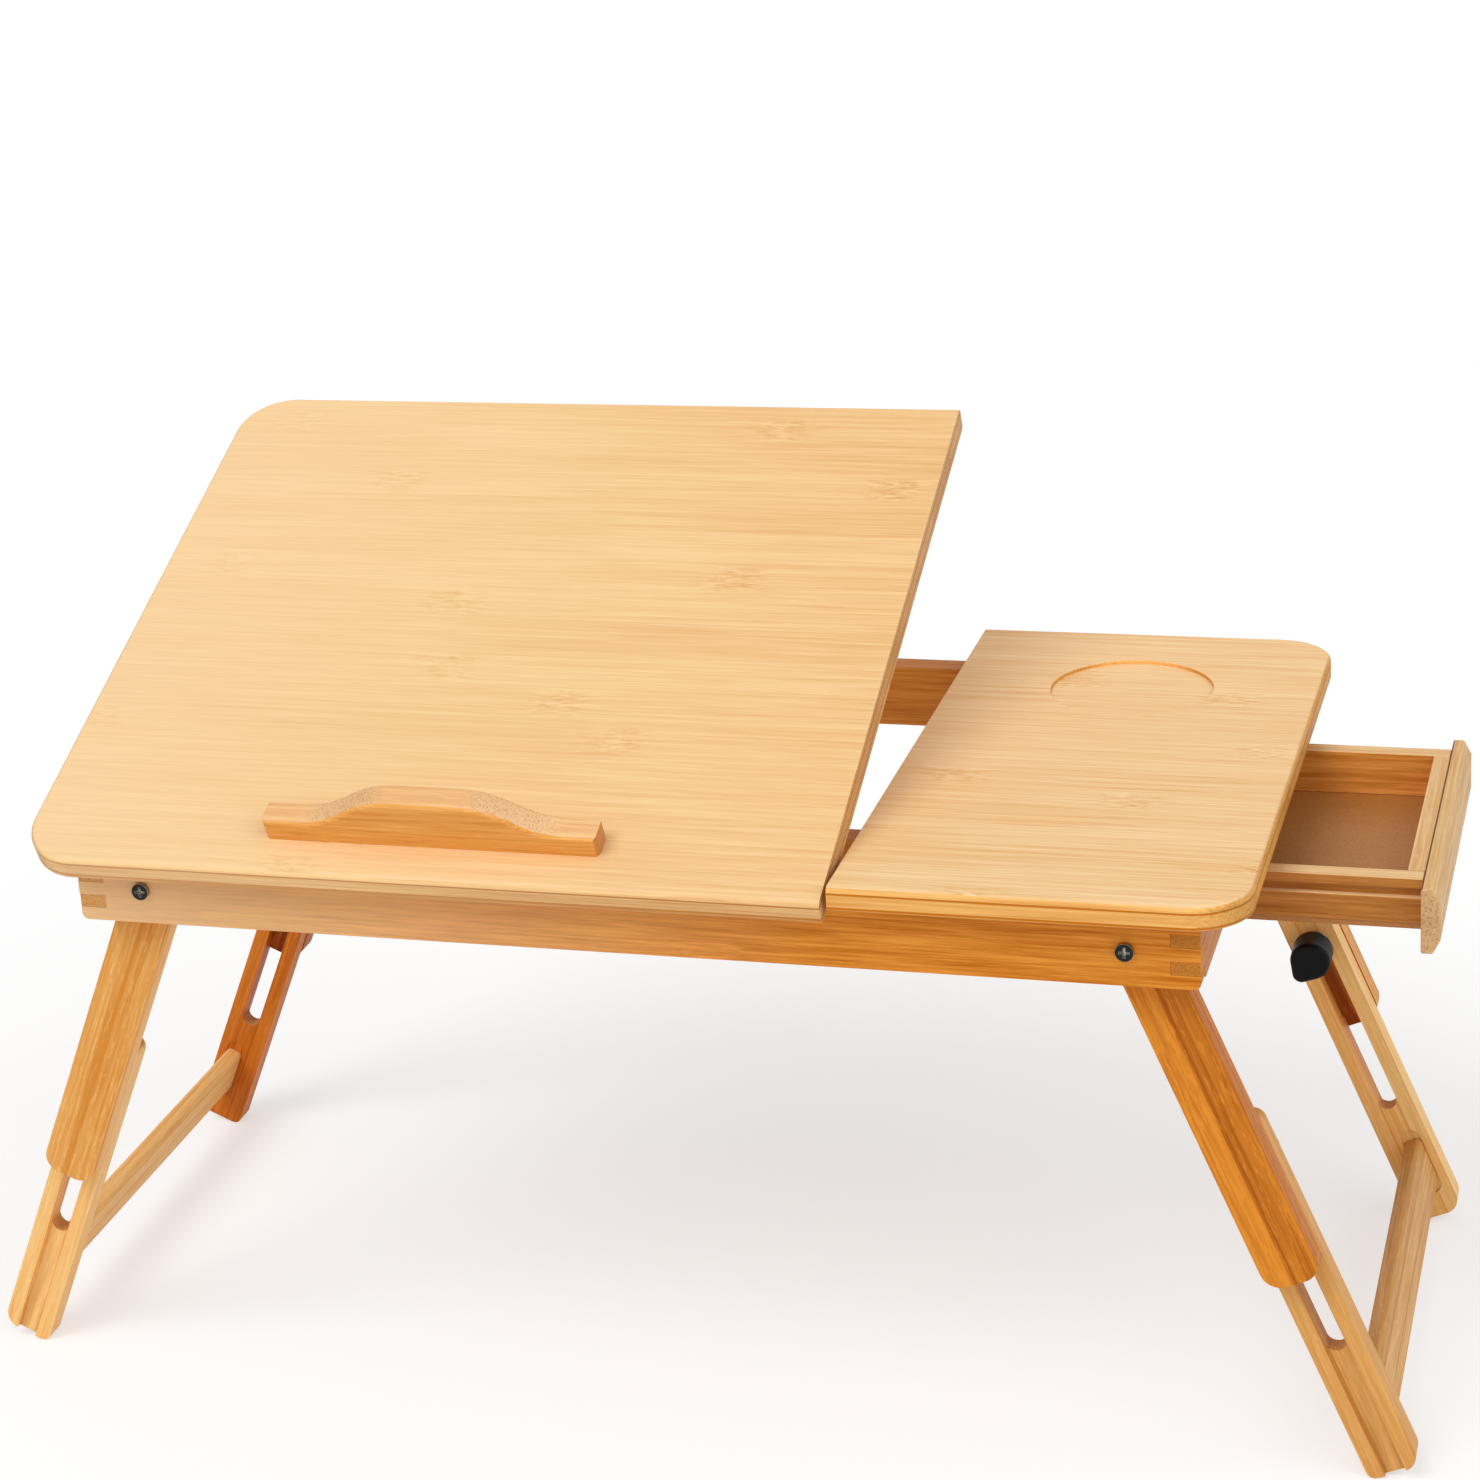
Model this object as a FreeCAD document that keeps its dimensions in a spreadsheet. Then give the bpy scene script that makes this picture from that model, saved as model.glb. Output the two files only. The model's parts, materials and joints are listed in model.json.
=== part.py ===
"""Folding laptop stand with a drawer: a bamboo bed tray whose left panel tilts on a prop.

The tray stands on two pairs of legs that fold under it and telescope, each held by clamp knobs, and
a small drawer slides out of its right side.

Frame: millimetres, +X right, +Y back, +Z up. X and Y are centred on the tray and the floor is Z = 0.
It is shown with the legs out, the left panel raised and the drawer pulled open.
"""
import FreeCAD, Part
import math
import os
import re
import Sketcher

# Driving dimensions: millimetres, and degrees where a name ends in _angle.
SIZES = {
    # panels
    "tray_width": 500, "tray_depth": 300, "panel_thick": 11.5, "fixed_panel_width": 159,
    "panel_split": 2, "seat_gap": 0.2, "panel_corner": 24, "panel_round": 2.5,
    "fixed_bevel_high": 4.5, "fixed_bevel_deep": 2, "tilt_bevel": 1.2,
    "cup_radius": 35, "cup_depth": 1.6, "cup_from_right": 80, "cup_from_back": 71,
    "tilt_angle": 23.2,
    # frame boards
    "side_overhang": 19, "front_overhang": 13.5, "apron_high": 28, "apron_thick": 12,
    "side_thick": 11.5, "apron_end_round": 3, "divider_thick": 10, "divider_inset": 2,
    "inner_board_high": 26,
    # drawer and its bay
    "drawer_wide": 139, "drawer_long": 122, "drawer_wall": 8.5, "drawer_end_wall": 6.5,
    "drawer_high": 21, "drawer_below_top": 7, "drawer_pull": 75.5, "drawer_floor": 2.4,
    "floor_inset": 0.5, "drawer_lip": 4, "groove_high": 4, "groove_deep": 3,
    "face_overlap": 10.5, "face_high": 27, "face_below_top": 6.5, "face_thick": 7.5,
    "face_bevel_deep": 3, "face_bevel_high": 6, "opening_play": 2.5, "guide_gap": 1,
    "guide_thick": 9, "runner_high": 3.4, "runner_proud": 2.6, "runner_end_gap": 3,
    "face_screw_radius": 1.5, "face_screw_long": 12, "face_screw_head": 3,
    "face_screw_head_high": 1, "face_screw_spacing": 80,
    # legs
    "leg_splay_angle": 23, "pivot_from_side_board": 17, "pivot_below_apron_top": 13.5, "stop_gap": 0.3,
    "upper_leg_wide": 23, "upper_leg_thick": 11.5, "upper_leg_end": 156, "upper_leg_corner": 7.5,
    "lower_leg_wide": 22, "lower_leg_thick": 10.7, "lower_leg_top": 90, "leg_reach": 251.4,
    "lower_top_corner": 5, "foot_outer_corner": 7.5, "foot_inner_corner": 3.5, "leg_gap": 0.4,
    "slot_wide": 9, "slot_top": 104, "slot_bottom": 195, "tongue_wide": 8.4, "tongue_high": 2.6,
    "leg_groove_deep": 2.5, "tongue_start": 20, "tongue_end": 150,
    "crossbar_top": 212.5, "crossbar_wide": 22.5, "crossbar_thick": 8, "crossbar_inset": 1.2,
    "crossbar_round": 2.5, "tenon_wide": 17, "tenon_thick": 5, "tenon_long": 6,
    "socket_deep": 1, "socket_gap": 0.3, "socket_beyond": 5,
    # leg hardware
    "pivot_screw_radius": 2, "screw_head_radius": 3.6, "screw_head_high": 2.2, "recess_long": 4.2,
    "recess_wide": 0.9, "recess_deep": 1.2, "washer_thick": 1.5, "washer_radius": 6,
    "washer_gap": 0.15, "nut_radius": 4, "nut_thick": 2.8, "running_gap": 0.05,
    "clamp_at": 110, "stud_radius": 2.5, "stud_bedded": 8, "stud_proud": 27,
    "clamp_washer_radius": 7, "clamp_washer_thick": 1, "clamp_gap": 0.2,
    "knob_radius": 8.8, "knob_long": 18, "knob_collar_radius": 6, "knob_collar_long": 4,
    "knob_round": 2.2, "knob_bore_deep": 15, "lobe_radius": 4, "lobe_out": 7.5, "lobe_angle": 36,
    "front_stud_proud": 17, "front_knob_long": 7.5, "front_collar_long": 1.5,
    "front_bore_deep": 5, "front_lobe_angle": 90,
    # panel hinges
    "hinge_ahead": 1, "hinge_long": 38, "hinge_from_left": 75, "hinge_from_right": 23,
    "leaf_thick": 1.2, "leaf_wide": 10.5, "barrel_radius": 2, "barrel_gap": 0.3,
    "barrel_share": 12.6, "barrel_end_gap": 0.1, "hinge_pin_radius": 1,
    "small_screw_radius": 1.1, "small_head_radius": 2.2, "small_screw_long": 7,
    "leaf_screw_spacing": 24, "leaf_screw_from_pin": 6.3,
    # stop ledge
    "ledge_from_left": 106, "ledge_long": 141, "ledge_from_front": 18, "ledge_thick": 12,
    "ledge_end_high": 10, "ledge_rise": 13.5, "ledge_left_flat": 14, "ledge_left_run": 44,
    "ledge_right_flat": 12, "ledge_right_run": 45, "ledge_round": 2.5,
    "ledge_screw_radius": 1.5, "ledge_screw_head": 3, "ledge_screw_spacing": 90,
    "ledge_screw_bite": 6, "ledge_head_high": 2,
    # prop under the tilting panel
    "prop_off_middle": 8.5, "prop_wide": 216, "prop_reach": 85, "prop_below": 6, "arm_thick": 8,
    "arm_high": 8, "prop_bar_from_pivot": 36, "prop_bar_wide": 12, "stretcher_from_pivot": 11,
    "stretcher_wide": 12, "stretcher_high": 10.5, "stretcher_below": 1, "block_wide": 10,
    "block_behind": 6, "side_play": 0.3, "rod_radius": 2.5, "rail_thick": 1.5, "rail_high": 12,
    "rail_flange": 12, "rail_screw_from_end": 3.4, "rail_start": 132, "rail_end": 184,
    "track_start": 141, "track_end": 173,
    "track_gap": 0.4, "notch_rise": 1.3, "notch_spacing": 8, "rod_nut_radius": 5,
    "rod_nut_thick": 5, "arm_screw_radius": 2, "arm_screw_head": 3.5, "arm_screw_head_high": 2,
}

# Places and sizes worked out from the driving dimensions.
WORKED_OUT = {
    "pivot_high": "(leg_reach - foot_inner_corner) * cos(leg_splay_angle)"
                  " + (lower_leg_wide / 2 - foot_inner_corner) * sin(leg_splay_angle)"
                  " + foot_inner_corner",
    "apron_top": "pivot_high + pivot_below_apron_top",
    "tilt_panel_width": "tray_width - fixed_panel_width - panel_split",
    "split_x": "tilt_panel_width - tray_width / 2",
    "fixed_left": "split_x + panel_split",
    "frame_half_wide": "tray_width / 2 - side_overhang",
    "frame_half_deep": "tray_depth / 2 - front_overhang",
    "divider_left": "fixed_left + divider_inset",
    "divider_right": "divider_left + divider_thick",
    "stub_inner": "frame_half_wide - side_thick",
    "pivot_x": "stub_inner - pivot_from_side_board",
    # drawer, measured with it closed
    "drawer_left": "frame_half_wide - drawer_long",
    "face_wide": "drawer_wide + 2 * face_overlap",
    "opening_wide": "drawer_wide + 2 * opening_play",
    "guide_inner": "drawer_wide / 2 + guide_gap",
    "guide_outer": "guide_inner + guide_thick",
    # across the legs, as distances from the middle plane
    "upper_outer": "frame_half_deep - apron_thick - washer_thick - 2 * washer_gap",
    "upper_inner": "upper_outer - upper_leg_thick",
    "lower_outer": "upper_inner - leg_gap",
    "lower_inner": "lower_outer - lower_leg_thick",
    "knob_seat": "lower_inner - 2 * clamp_gap - clamp_washer_thick",
    # sine and cosine of the angle between a knob's lobe and its straight sides
    "lobe_lean": "(knob_radius - lobe_radius) / lobe_out",
    "lobe_flat": "sqrt(1 - lobe_lean * lobe_lean)",
    # hinge line of the tilting panel, and the panel measured from it
    "hinge_y": "-frame_half_deep - hinge_ahead",
    "panel_front": "-tray_depth / 2 - hinge_y",
    "left_hinge_x": "hinge_from_left - tray_width / 2",
    "right_hinge_x": "split_x - hinge_from_right",
    "tilt_panel_thick": "panel_thick - seat_gap",
    # prop, measured from the hinge line
    "prop_centre_x": "(split_x - tray_width / 2) / 2 + prop_off_middle",
    "prop_angle": "tilt_angle * 1 deg + asin(sin(tilt_angle)"
                  " - prop_below / prop_reach * (1 - cos(tilt_angle)))",
    "arm_outer": "prop_wide / 2",
    "arm_inner": "arm_outer - arm_thick",
    "rail_inner": "arm_outer + 2 * side_play",
}

TOUCH = 1e-4
FINGERS = 5
# Corners of the straight-sided part of a knob's lobe: distance out along it, and to one side.
LOBE_FLANK = (("0", "knob_radius * lobe_flat"), ("knob_radius * lobe_lean", "knob_radius * lobe_flat"),
              ("lobe_out + lobe_radius * lobe_lean", "lobe_radius * lobe_flat"))
LEFT, RIGHT = -1, 1
FRONT, BACK = -1, 1
# The front legs carry slim knobs on short studs.
STUD_PROUD = {FRONT: "front_stud_proud", BACK: "stud_proud"}
KNOB_LONG = {FRONT: "front_knob_long", BACK: "knob_long"}
COLLAR_LONG = {FRONT: "front_collar_long", BACK: "knob_collar_long"}
BORE_DEEP = {FRONT: "front_bore_deep", BACK: "knob_bore_deep"}
LOBE_ANGLE = {FRONT: "front_lobe_angle", BACK: "lobe_angle"}
SIDE_NAMES = {LEFT: "left", RIGHT: "right"}
END_NAMES = {FRONT: "front", BACK: "back"}
# Turns that carry a primitive's own +Z to another axis.
TURNS = {
    "+X": FreeCAD.Rotation(FreeCAD.Vector(0, 1, 0), 90),
    "-X": FreeCAD.Rotation(FreeCAD.Vector(0, 1, 0), -90),
    "+Y": FreeCAD.Rotation(FreeCAD.Vector(1, 0, 0), -90),
    "-Y": FreeCAD.Rotation(FreeCAD.Vector(1, 0, 0), 90),
    "+Z": FreeCAD.Rotation(),
    "-Z": FreeCAD.Rotation(FreeCAD.Vector(1, 0, 0), 180),
}

doc = FreeCAD.newDocument("laptop_stand")
sheet = doc.addObject("Spreadsheet::Sheet", "dims")
for row, (alias, number) in enumerate(SIZES.items(), start=1):
    sheet.set("A%d" % row, alias)
    sheet.set("B%d" % row, str(number))
    sheet.setAlias("B%d" % row, alias)
doc.recompute()

pieces = []


# ---------------------------------------------------------------- formulas

def spelled(formula):
    """Spell out worked-out names until only the sheet's aliases are left."""
    def spell(match):
        word = match.group()
        if word in WORKED_OUT:
            return "(" + spelled(WORKED_OUT[word]) + ")"
        return "dims." + word if word in SIZES else word
    return re.sub(r"[a-z_][a-z_0-9]*", spell, str(formula))


def bind(item, prop, formula):
    """Tie a length property to a formula on the sheet."""
    item.setExpression(prop, "(" + spelled(formula) + ") * 1 mm")


def size(alias):
    """Read one driving dimension from the sheet."""
    return float(sheet.get(alias))


# ---------------------------------------------------------------- building blocks

def new_piece(label, at=("0", "0", "apron_top")):
    """Start a body whose own origin lies at the given place."""
    body = doc.addObject("PartDesign::Body", label)
    body.Label = label
    body.AllowCompound = True
    for axis, formula in zip("xyz", at):
        bind(body, "Placement.Base." + axis, formula)
    pieces.append(body)
    return body


def turn_piece(body, axis, formula):
    """Turn a body or a primitive about an axis through its origin by a formula in degrees."""
    body.Placement = FreeCAD.Placement(body.Placement.Base, FreeCAD.Rotation(axis, 1))
    body.setExpression("Placement.Rotation.Angle", spelled(formula))


def put(feature, at):
    for axis, formula in zip("xyz", at):
        bind(feature, "Placement.Base." + axis, formula)


def block(body, at, lengths, cut=False):
    """Add or cut a box from its lowest corner and its three lengths."""
    kind = "SubtractiveBox" if cut else "AdditiveBox"
    feature = body.newObject("PartDesign::" + kind, kind)
    for prop, formula in zip(("Length", "Width", "Height"), lengths):
        bind(feature, prop, formula)
    put(feature, at)
    return feature


def rod(body, at, radius, length, towards, cut=False):
    """Add or cut a cylinder that starts at a point and runs along an axis."""
    kind = "SubtractiveCylinder" if cut else "AdditiveCylinder"
    feature = body.newObject("PartDesign::" + kind, kind)
    feature.Placement = FreeCAD.Placement(FreeCAD.Vector(), TURNS[towards])
    bind(feature, "Radius", radius)
    bind(feature, "Height", length)
    put(feature, at)
    return feature


def hexagon(body, at, radius, length, towards):
    feature = body.newObject("PartDesign::AdditivePrism", "Hexagon")
    feature.Placement = FreeCAD.Placement(FreeCAD.Vector(), TURNS[towards])
    feature.Polygon = 6
    bind(feature, "Circumradius", radius)
    bind(feature, "Height", length)
    put(feature, at)
    return feature


def edge_names(shape, wanted):
    """Names of the edges that a test accepts."""
    return ["Edge%d" % number for number, edge in enumerate(shape.Edges, start=1) if wanted(edge)]


def round_edges(body, radius, wanted):
    """Round the edges of the body so far that a test accepts."""
    doc.recompute()
    base = body.Tip
    names = edge_names(base.Shape, wanted)
    feature = body.newObject("PartDesign::Fillet", "Round")
    feature.Base = (base, names)
    bind(feature, "Radius", radius)
    return feature


def bevel_edges(body, deep, high, wanted, flip=False):
    """Bevel edges with one size on each of their two faces."""
    doc.recompute()
    base = body.Tip
    names = edge_names(base.Shape, wanted)
    feature = body.newObject("PartDesign::Chamfer", "Bevel")
    feature.Base = (base, names)
    feature.ChamferType = "Two distances"
    bind(feature, "Size", deep)
    bind(feature, "Size2", high)
    feature.FlipDirection = flip
    return feature


def outline(body, role, points, height):
    """Draw a closed outline on an origin plane, each corner tied to two formulas."""
    plane = [item for item in body.Origin.OriginFeatures if item.Role == role][0]
    sketch = body.newObject("Sketcher::SketchObject", "Outline")
    sketch.AttachmentSupport = [(plane, "")]
    sketch.MapMode = "FlatFace"
    bind(sketch, "AttachmentOffset.Base.z", height)
    count = len(points)
    spots = [FreeCAD.Vector(math.cos(2 * math.pi * i / count), math.sin(2 * math.pi * i / count), 0)
             for i in range(count)]
    for i in range(count):
        sketch.addGeometry(Part.LineSegment(spots[i], spots[(i + 1) % count]))
    for i in range(count):
        sketch.addConstraint(Sketcher.Constraint("Coincident", i, 2, (i + 1) % count, 1))
    for i, corner in enumerate(points):
        for kind, formula in zip(("DistanceX", "DistanceY"), corner):
            number = sketch.addConstraint(Sketcher.Constraint(kind, -1, 1, i, 1, 1.0 + i))
            bind(sketch, "Constraints[%d]" % number, formula)
    return sketch


def pad(body, sketch, length, backwards=False):
    feature = body.newObject("PartDesign::Pad", "Pad")
    feature.Profile = sketch
    bind(feature, "Length", length)
    feature.Reversed = backwards
    return feature


def lies(low, high, value):
    return abs(low - value) < TOUCH and abs(high - value) < TOUCH


def runs_along(edge, axis):
    """True for a straight edge along X, Y or Z."""
    box = edge.BoundBox
    spans = {"x": box.XLength, "y": box.YLength, "z": box.ZLength}
    return spans.pop(axis) > TOUCH and max(spans.values()) < TOUCH


# ---------------------------------------------------------------- frame boards

def comb(tip, root, toothed):
    """One finger-jointed board end, from the bottom up, as (along, height) formulas."""
    corners = []
    for level in range(FINGERS):
        along = tip if (level % 2 == 0) == toothed else root
        for edge in (level, level + 1):
            corners.append((along, "apron_high * (%d / %d - 1)" % (edge, FINGERS)))
    return corners


def plain_end(along):
    return [(along, "-apron_high"), (along, "0")]


def long_apron(end):
    """Front or back board, with fingers at the bottom, the middle and the top of both ends."""
    body = new_piece(END_NAMES[end] + "_apron")
    root = "frame_half_wide - side_thick"
    right = comb("frame_half_wide", root, True)
    left = [("-(%s)" % along, height) for along, height in reversed(right)]
    outer = "frame_half_deep" if end == FRONT else "apron_thick - frame_half_deep"
    pad(body, outline(body, "XZ_Plane", right + left, outer), "apron_thick", backwards=True)

    def lower_end(edge):
        box = body.Tip.Shape.BoundBox
        at_end = lies(edge.BoundBox.XMin, edge.BoundBox.XMax, box.XMin) or \
            lies(edge.BoundBox.XMin, edge.BoundBox.XMax, box.XMax)
        return runs_along(edge, "y") and at_end and abs(edge.BoundBox.ZMin - box.ZMin) < TOUCH
    round_edges(body, "apron_end_round", lower_end)
    outer_y = "%d * frame_half_deep" % end
    for side in (LEFT, RIGHT):
        rod(body, ("%d * pivot_x" % side, outer_y, "-pivot_below_apron_top"),
            "pivot_screw_radius", "apron_thick", "+Y" if end == FRONT else "-Y", cut=True)
    if end == FRONT:
        for hinge_x in ("left_hinge_x", "right_hinge_x"):
            block(body, (hinge_x + " - hinge_long / 2", "hinge_y", "-leaf_thick"),
                  ("hinge_long", "leaf_wide", "leaf_thick"), cut=True)
            rod(body, (hinge_x + " - hinge_long / 2", "hinge_y", "seat_gap"),
                "barrel_radius + barrel_gap", "hinge_long", "+X", cut=True)
            for way in (LEFT, RIGHT):
                rod(body, (hinge_x + " + %d * leaf_screw_spacing / 2" % way,
                           "hinge_y + leaf_screw_from_pin", "0"),
                    "small_screw_radius", "small_screw_long + leaf_thick", "-Z", cut=True)
    return body


def leg_rest(body, side, end):
    """Cut the sloping rest that a leg's outer edge leans on when it is swung out."""
    low_y, wide = across(end, "lower_inner - stop_gap", "upper_outer + stop_gap")
    reach, deep = "2 * apron_high", "(upper_leg_wide / 2 + stop_gap)"
    x = "%d * (pivot_x + %s * sin(leg_splay_angle))" % (side, reach)
    z = "-pivot_below_apron_top - %s * cos(leg_splay_angle)" % reach
    if side == LEFT:
        x += " - %s * cos(leg_splay_angle)" % deep
        z += " + %s * sin(leg_splay_angle)" % deep
    recess = block(body, (x, low_y, z), (deep, wide, reach), cut=True)
    turn_piece(recess, FreeCAD.Vector(0, 1, 0), "%d * leg_splay_angle" % -side)


def left_apron():
    body = new_piece("left_apron")
    back = comb("frame_half_deep", "frame_half_deep - apron_thick", False)
    front = [("-(%s)" % along, height) for along, height in reversed(back)]
    pad(body, outline(body, "YZ_Plane", back + front, "-frame_half_wide"), "side_thick")
    for end in (FRONT, BACK):
        leg_rest(body, LEFT, end)


def right_stub(end):
    """Short board between a long apron and the drawer opening."""
    body = new_piece("right_%s_stub" % END_NAMES[end])
    corners = comb("frame_half_deep", "frame_half_deep - apron_thick", False)
    corners += list(reversed(plain_end("opening_wide / 2")))
    if end == FRONT:
        corners = [("-(%s)" % along, height) for along, height in corners]
    pad(body, outline(body, "YZ_Plane", corners, "frame_half_wide - side_thick"), "side_thick")
    leg_rest(body, RIGHT, end)


def divider():
    body = new_piece("bay_divider")
    block(body, ("divider_left", "-guide_outer", "-inner_board_high"),
          ("divider_thick", "2 * guide_outer", "inner_board_high"))


def drawer_guide(end):
    """Board beside the drawer, and the runner strip that the drawer's groove rides on."""
    body = new_piece("drawer_guide_" + END_NAMES[end])
    low_y = "-guide_outer" if end == FRONT else "guide_inner"
    block(body, ("divider_right", low_y, "-inner_board_high"),
          ("stub_inner - divider_right", "guide_thick", "inner_board_high"))
    strip = new_piece("drawer_runner_" + END_NAMES[end])
    low_y = "-guide_inner" if end == FRONT else "guide_inner - runner_proud"
    block(strip, ("divider_right + runner_end_gap", low_y,
                  "-drawer_below_top - drawer_lip - groove_high / 2 - runner_high / 2"),
          ("stub_inner - divider_right - 2 * runner_end_gap", "runner_proud", "runner_high"))


def fixed_panel():
    """Right panel: rounded outer corners, rounded top edge, bevelled lower edge, cup recess."""
    body = new_piece("fixed_panel")
    block(body, ("fixed_left", "-tray_depth / 2", "0"),
          ("tray_width / 2 - fixed_left", "tray_depth", "panel_thick"))
    finish_panel(body, RIGHT, "fixed_bevel_deep", "fixed_bevel_high")
    rod(body, ("tray_width / 2 - cup_from_right", "tray_depth / 2 - cup_from_back", "panel_thick"),
        "cup_radius", "cup_depth", "-Z", cut=True)


def finish_panel(body, outer_side, bevel_deep, bevel_high):
    """Round a panel's outer corners and top edge, and bevel its lower edge."""
    def outer_x(box):
        return box.XMax if outer_side == RIGHT else box.XMin

    def split_x(box):
        return box.XMin if outer_side == RIGHT else box.XMax

    def outer_corner(edge):
        box = body.Tip.Shape.BoundBox
        return runs_along(edge, "z") and lies(edge.BoundBox.XMin, edge.BoundBox.XMax, outer_x(box))

    def rim(level):
        def wanted(edge):
            box = body.Tip.Shape.BoundBox
            height = box.ZMax if level == "top" else box.ZMin
            on_split = lies(edge.BoundBox.XMin, edge.BoundBox.XMax, split_x(box))
            return lies(edge.BoundBox.ZMin, edge.BoundBox.ZMax, height) and not on_split
        return wanted
    round_edges(body, "panel_corner", outer_corner)
    round_edges(body, "panel_round", rim("top"))
    bevel_edges(body, bevel_deep, bevel_high, rim("bottom"))


# ---------------------------------------------------------------- tilting panel and its hinges

HINGE_LINE = ("0", "hinge_y", "apron_top + seat_gap")


def tilting_piece(label):
    """A body measured from the hinge line and turned up with the panel."""
    body = new_piece(label, HINGE_LINE)
    turn_piece(body, FreeCAD.Vector(1, 0, 0), "tilt_angle")
    return body


def tilting_panel():
    body = tilting_piece("tilting_panel")
    block(body, ("-tray_width / 2", "panel_front", "0"),
          ("tilt_panel_width", "tray_depth", "tilt_panel_thick"))
    finish_panel(body, LEFT, "tilt_bevel", "tilt_bevel")
    for hinge_x in ("left_hinge_x", "right_hinge_x"):
        start = hinge_x + " - hinge_long / 2"
        rod(body, (start, "0", "0"), "barrel_radius + barrel_gap", "hinge_long", "+X", cut=True)
        block(body, (start, "0", "0"), ("hinge_long", "leaf_wide", "leaf_thick"), cut=True)
        for way in (LEFT, RIGHT):
            rod(body, (hinge_x + " + %d * leaf_screw_spacing / 2" % way, "leaf_screw_from_pin", "0"),
                "small_screw_radius", "small_screw_long + leaf_thick", "+Z", cut=True)
    for x, y in ledge_screw_places():
        rod(body, (x, y, "0"), "ledge_screw_radius", "tilt_panel_thick", "+Z", cut=True)
        rod(body, (x, y, "0"), "ledge_screw_head", "ledge_head_high", "+Z", cut=True)
    for x, y in rail_screw_places():
        rod(body, (x, y, "0"), "small_screw_radius", "small_screw_long", "+Z", cut=True)


def hinge_leaves(label, moving):
    """One leaf of both panel hinges, with its share of the barrels."""
    body = tilting_piece(label) if moving else new_piece(label, HINGE_LINE)
    leaf_low = "0" if moving else "-seat_gap - leaf_thick"
    clear = "barrel_radius + barrel_gap"
    middle = "hinge_long - 2 * barrel_share"
    if moving:
        knuckles = [("barrel_share + barrel_end_gap", middle + " - 2 * barrel_end_gap")]
    else:
        knuckles = [("0", "barrel_share"), ("hinge_long - barrel_share", "barrel_share")]
    bore = "hinge_pin_radius + running_gap" if moving else "hinge_pin_radius"
    for hinge_x in ("left_hinge_x", "right_hinge_x"):
        start = hinge_x + " - hinge_long / 2"
        block(body, (start, clear, leaf_low), ("hinge_long", "leaf_wide - (%s)" % clear, "leaf_thick"))
        for offset, length in knuckles:
            at_x = start + " + " + offset
            block(body, (at_x, "0", leaf_low), (length, clear, "leaf_thick"))
            rod(body, (at_x, "0", "0"), "barrel_radius", length, "+X")
            rod(body, (at_x, "0", "0"), bore, length, "+X", cut=True)
        for way in (LEFT, RIGHT):
            rod(body, (hinge_x + " + %d * leaf_screw_spacing / 2" % way, "leaf_screw_from_pin", leaf_low),
                "small_head_radius", "leaf_thick", "+Z", cut=True)


def hinge_pins():
    body = new_piece("hinge_pins", HINGE_LINE)
    for hinge_x in ("left_hinge_x", "right_hinge_x"):
        rod(body, (hinge_x + " - hinge_long / 2", "0", "0"), "hinge_pin_radius", "hinge_long", "+X")


def small_screw(body, x, y, head_z, head_high, towards):
    """Flush wood screw: its head starts at head_z and its shank follows the head."""
    sign = "+" if towards == "+Z" else "-"
    rod(body, (x, y, head_z), "small_head_radius", head_high, towards)
    rod(body, (x, y, "%s %s %s" % (head_z, sign, head_high)), "small_screw_radius",
        "small_screw_long", towards)


def hinge_screws():
    frame_screws = new_piece("hinge_frame_screws", HINGE_LINE)
    panel_screws = tilting_piece("hinge_panel_screws")
    for hinge_x in ("left_hinge_x", "right_hinge_x"):
        for way in (LEFT, RIGHT):
            x = hinge_x + " + %d * leaf_screw_spacing / 2" % way
            small_screw(frame_screws, x, "leaf_screw_from_pin", "-seat_gap", "leaf_thick", "-Z")
            small_screw(panel_screws, x, "leaf_screw_from_pin", "0", "leaf_thick", "+Z")


# ---------------------------------------------------------------- stop ledge

def ledge_screw_places():
    middle = "-tray_width / 2 + ledge_from_left + ledge_long / 2"
    y = "panel_front + ledge_from_front + ledge_thick / 2"
    return [(middle + " + %d * ledge_screw_spacing / 2" % way, y) for way in (LEFT, RIGHT)]


def rise(start, run, height):
    """Two equal tangent arcs that climb by a height over a run, level at both ends."""
    radius = (run ** 2 + height ** 2) / (4 * abs(height))
    up = 1 if height > 0 else -1
    half = math.asin(abs(run) / 2 / radius) / 2
    way = 1 if run > 0 else -1
    middle = start + FreeCAD.Vector(run / 2, 0, height / 2)
    end = start + FreeCAD.Vector(run, 0, height)
    dip = FreeCAD.Vector(way * radius * math.sin(half), 0, up * radius * (1 - math.cos(half)))
    return [Part.Arc(start, start + dip, middle).toShape(),
            Part.Arc(middle, end - dip, end).toShape()]


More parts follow.
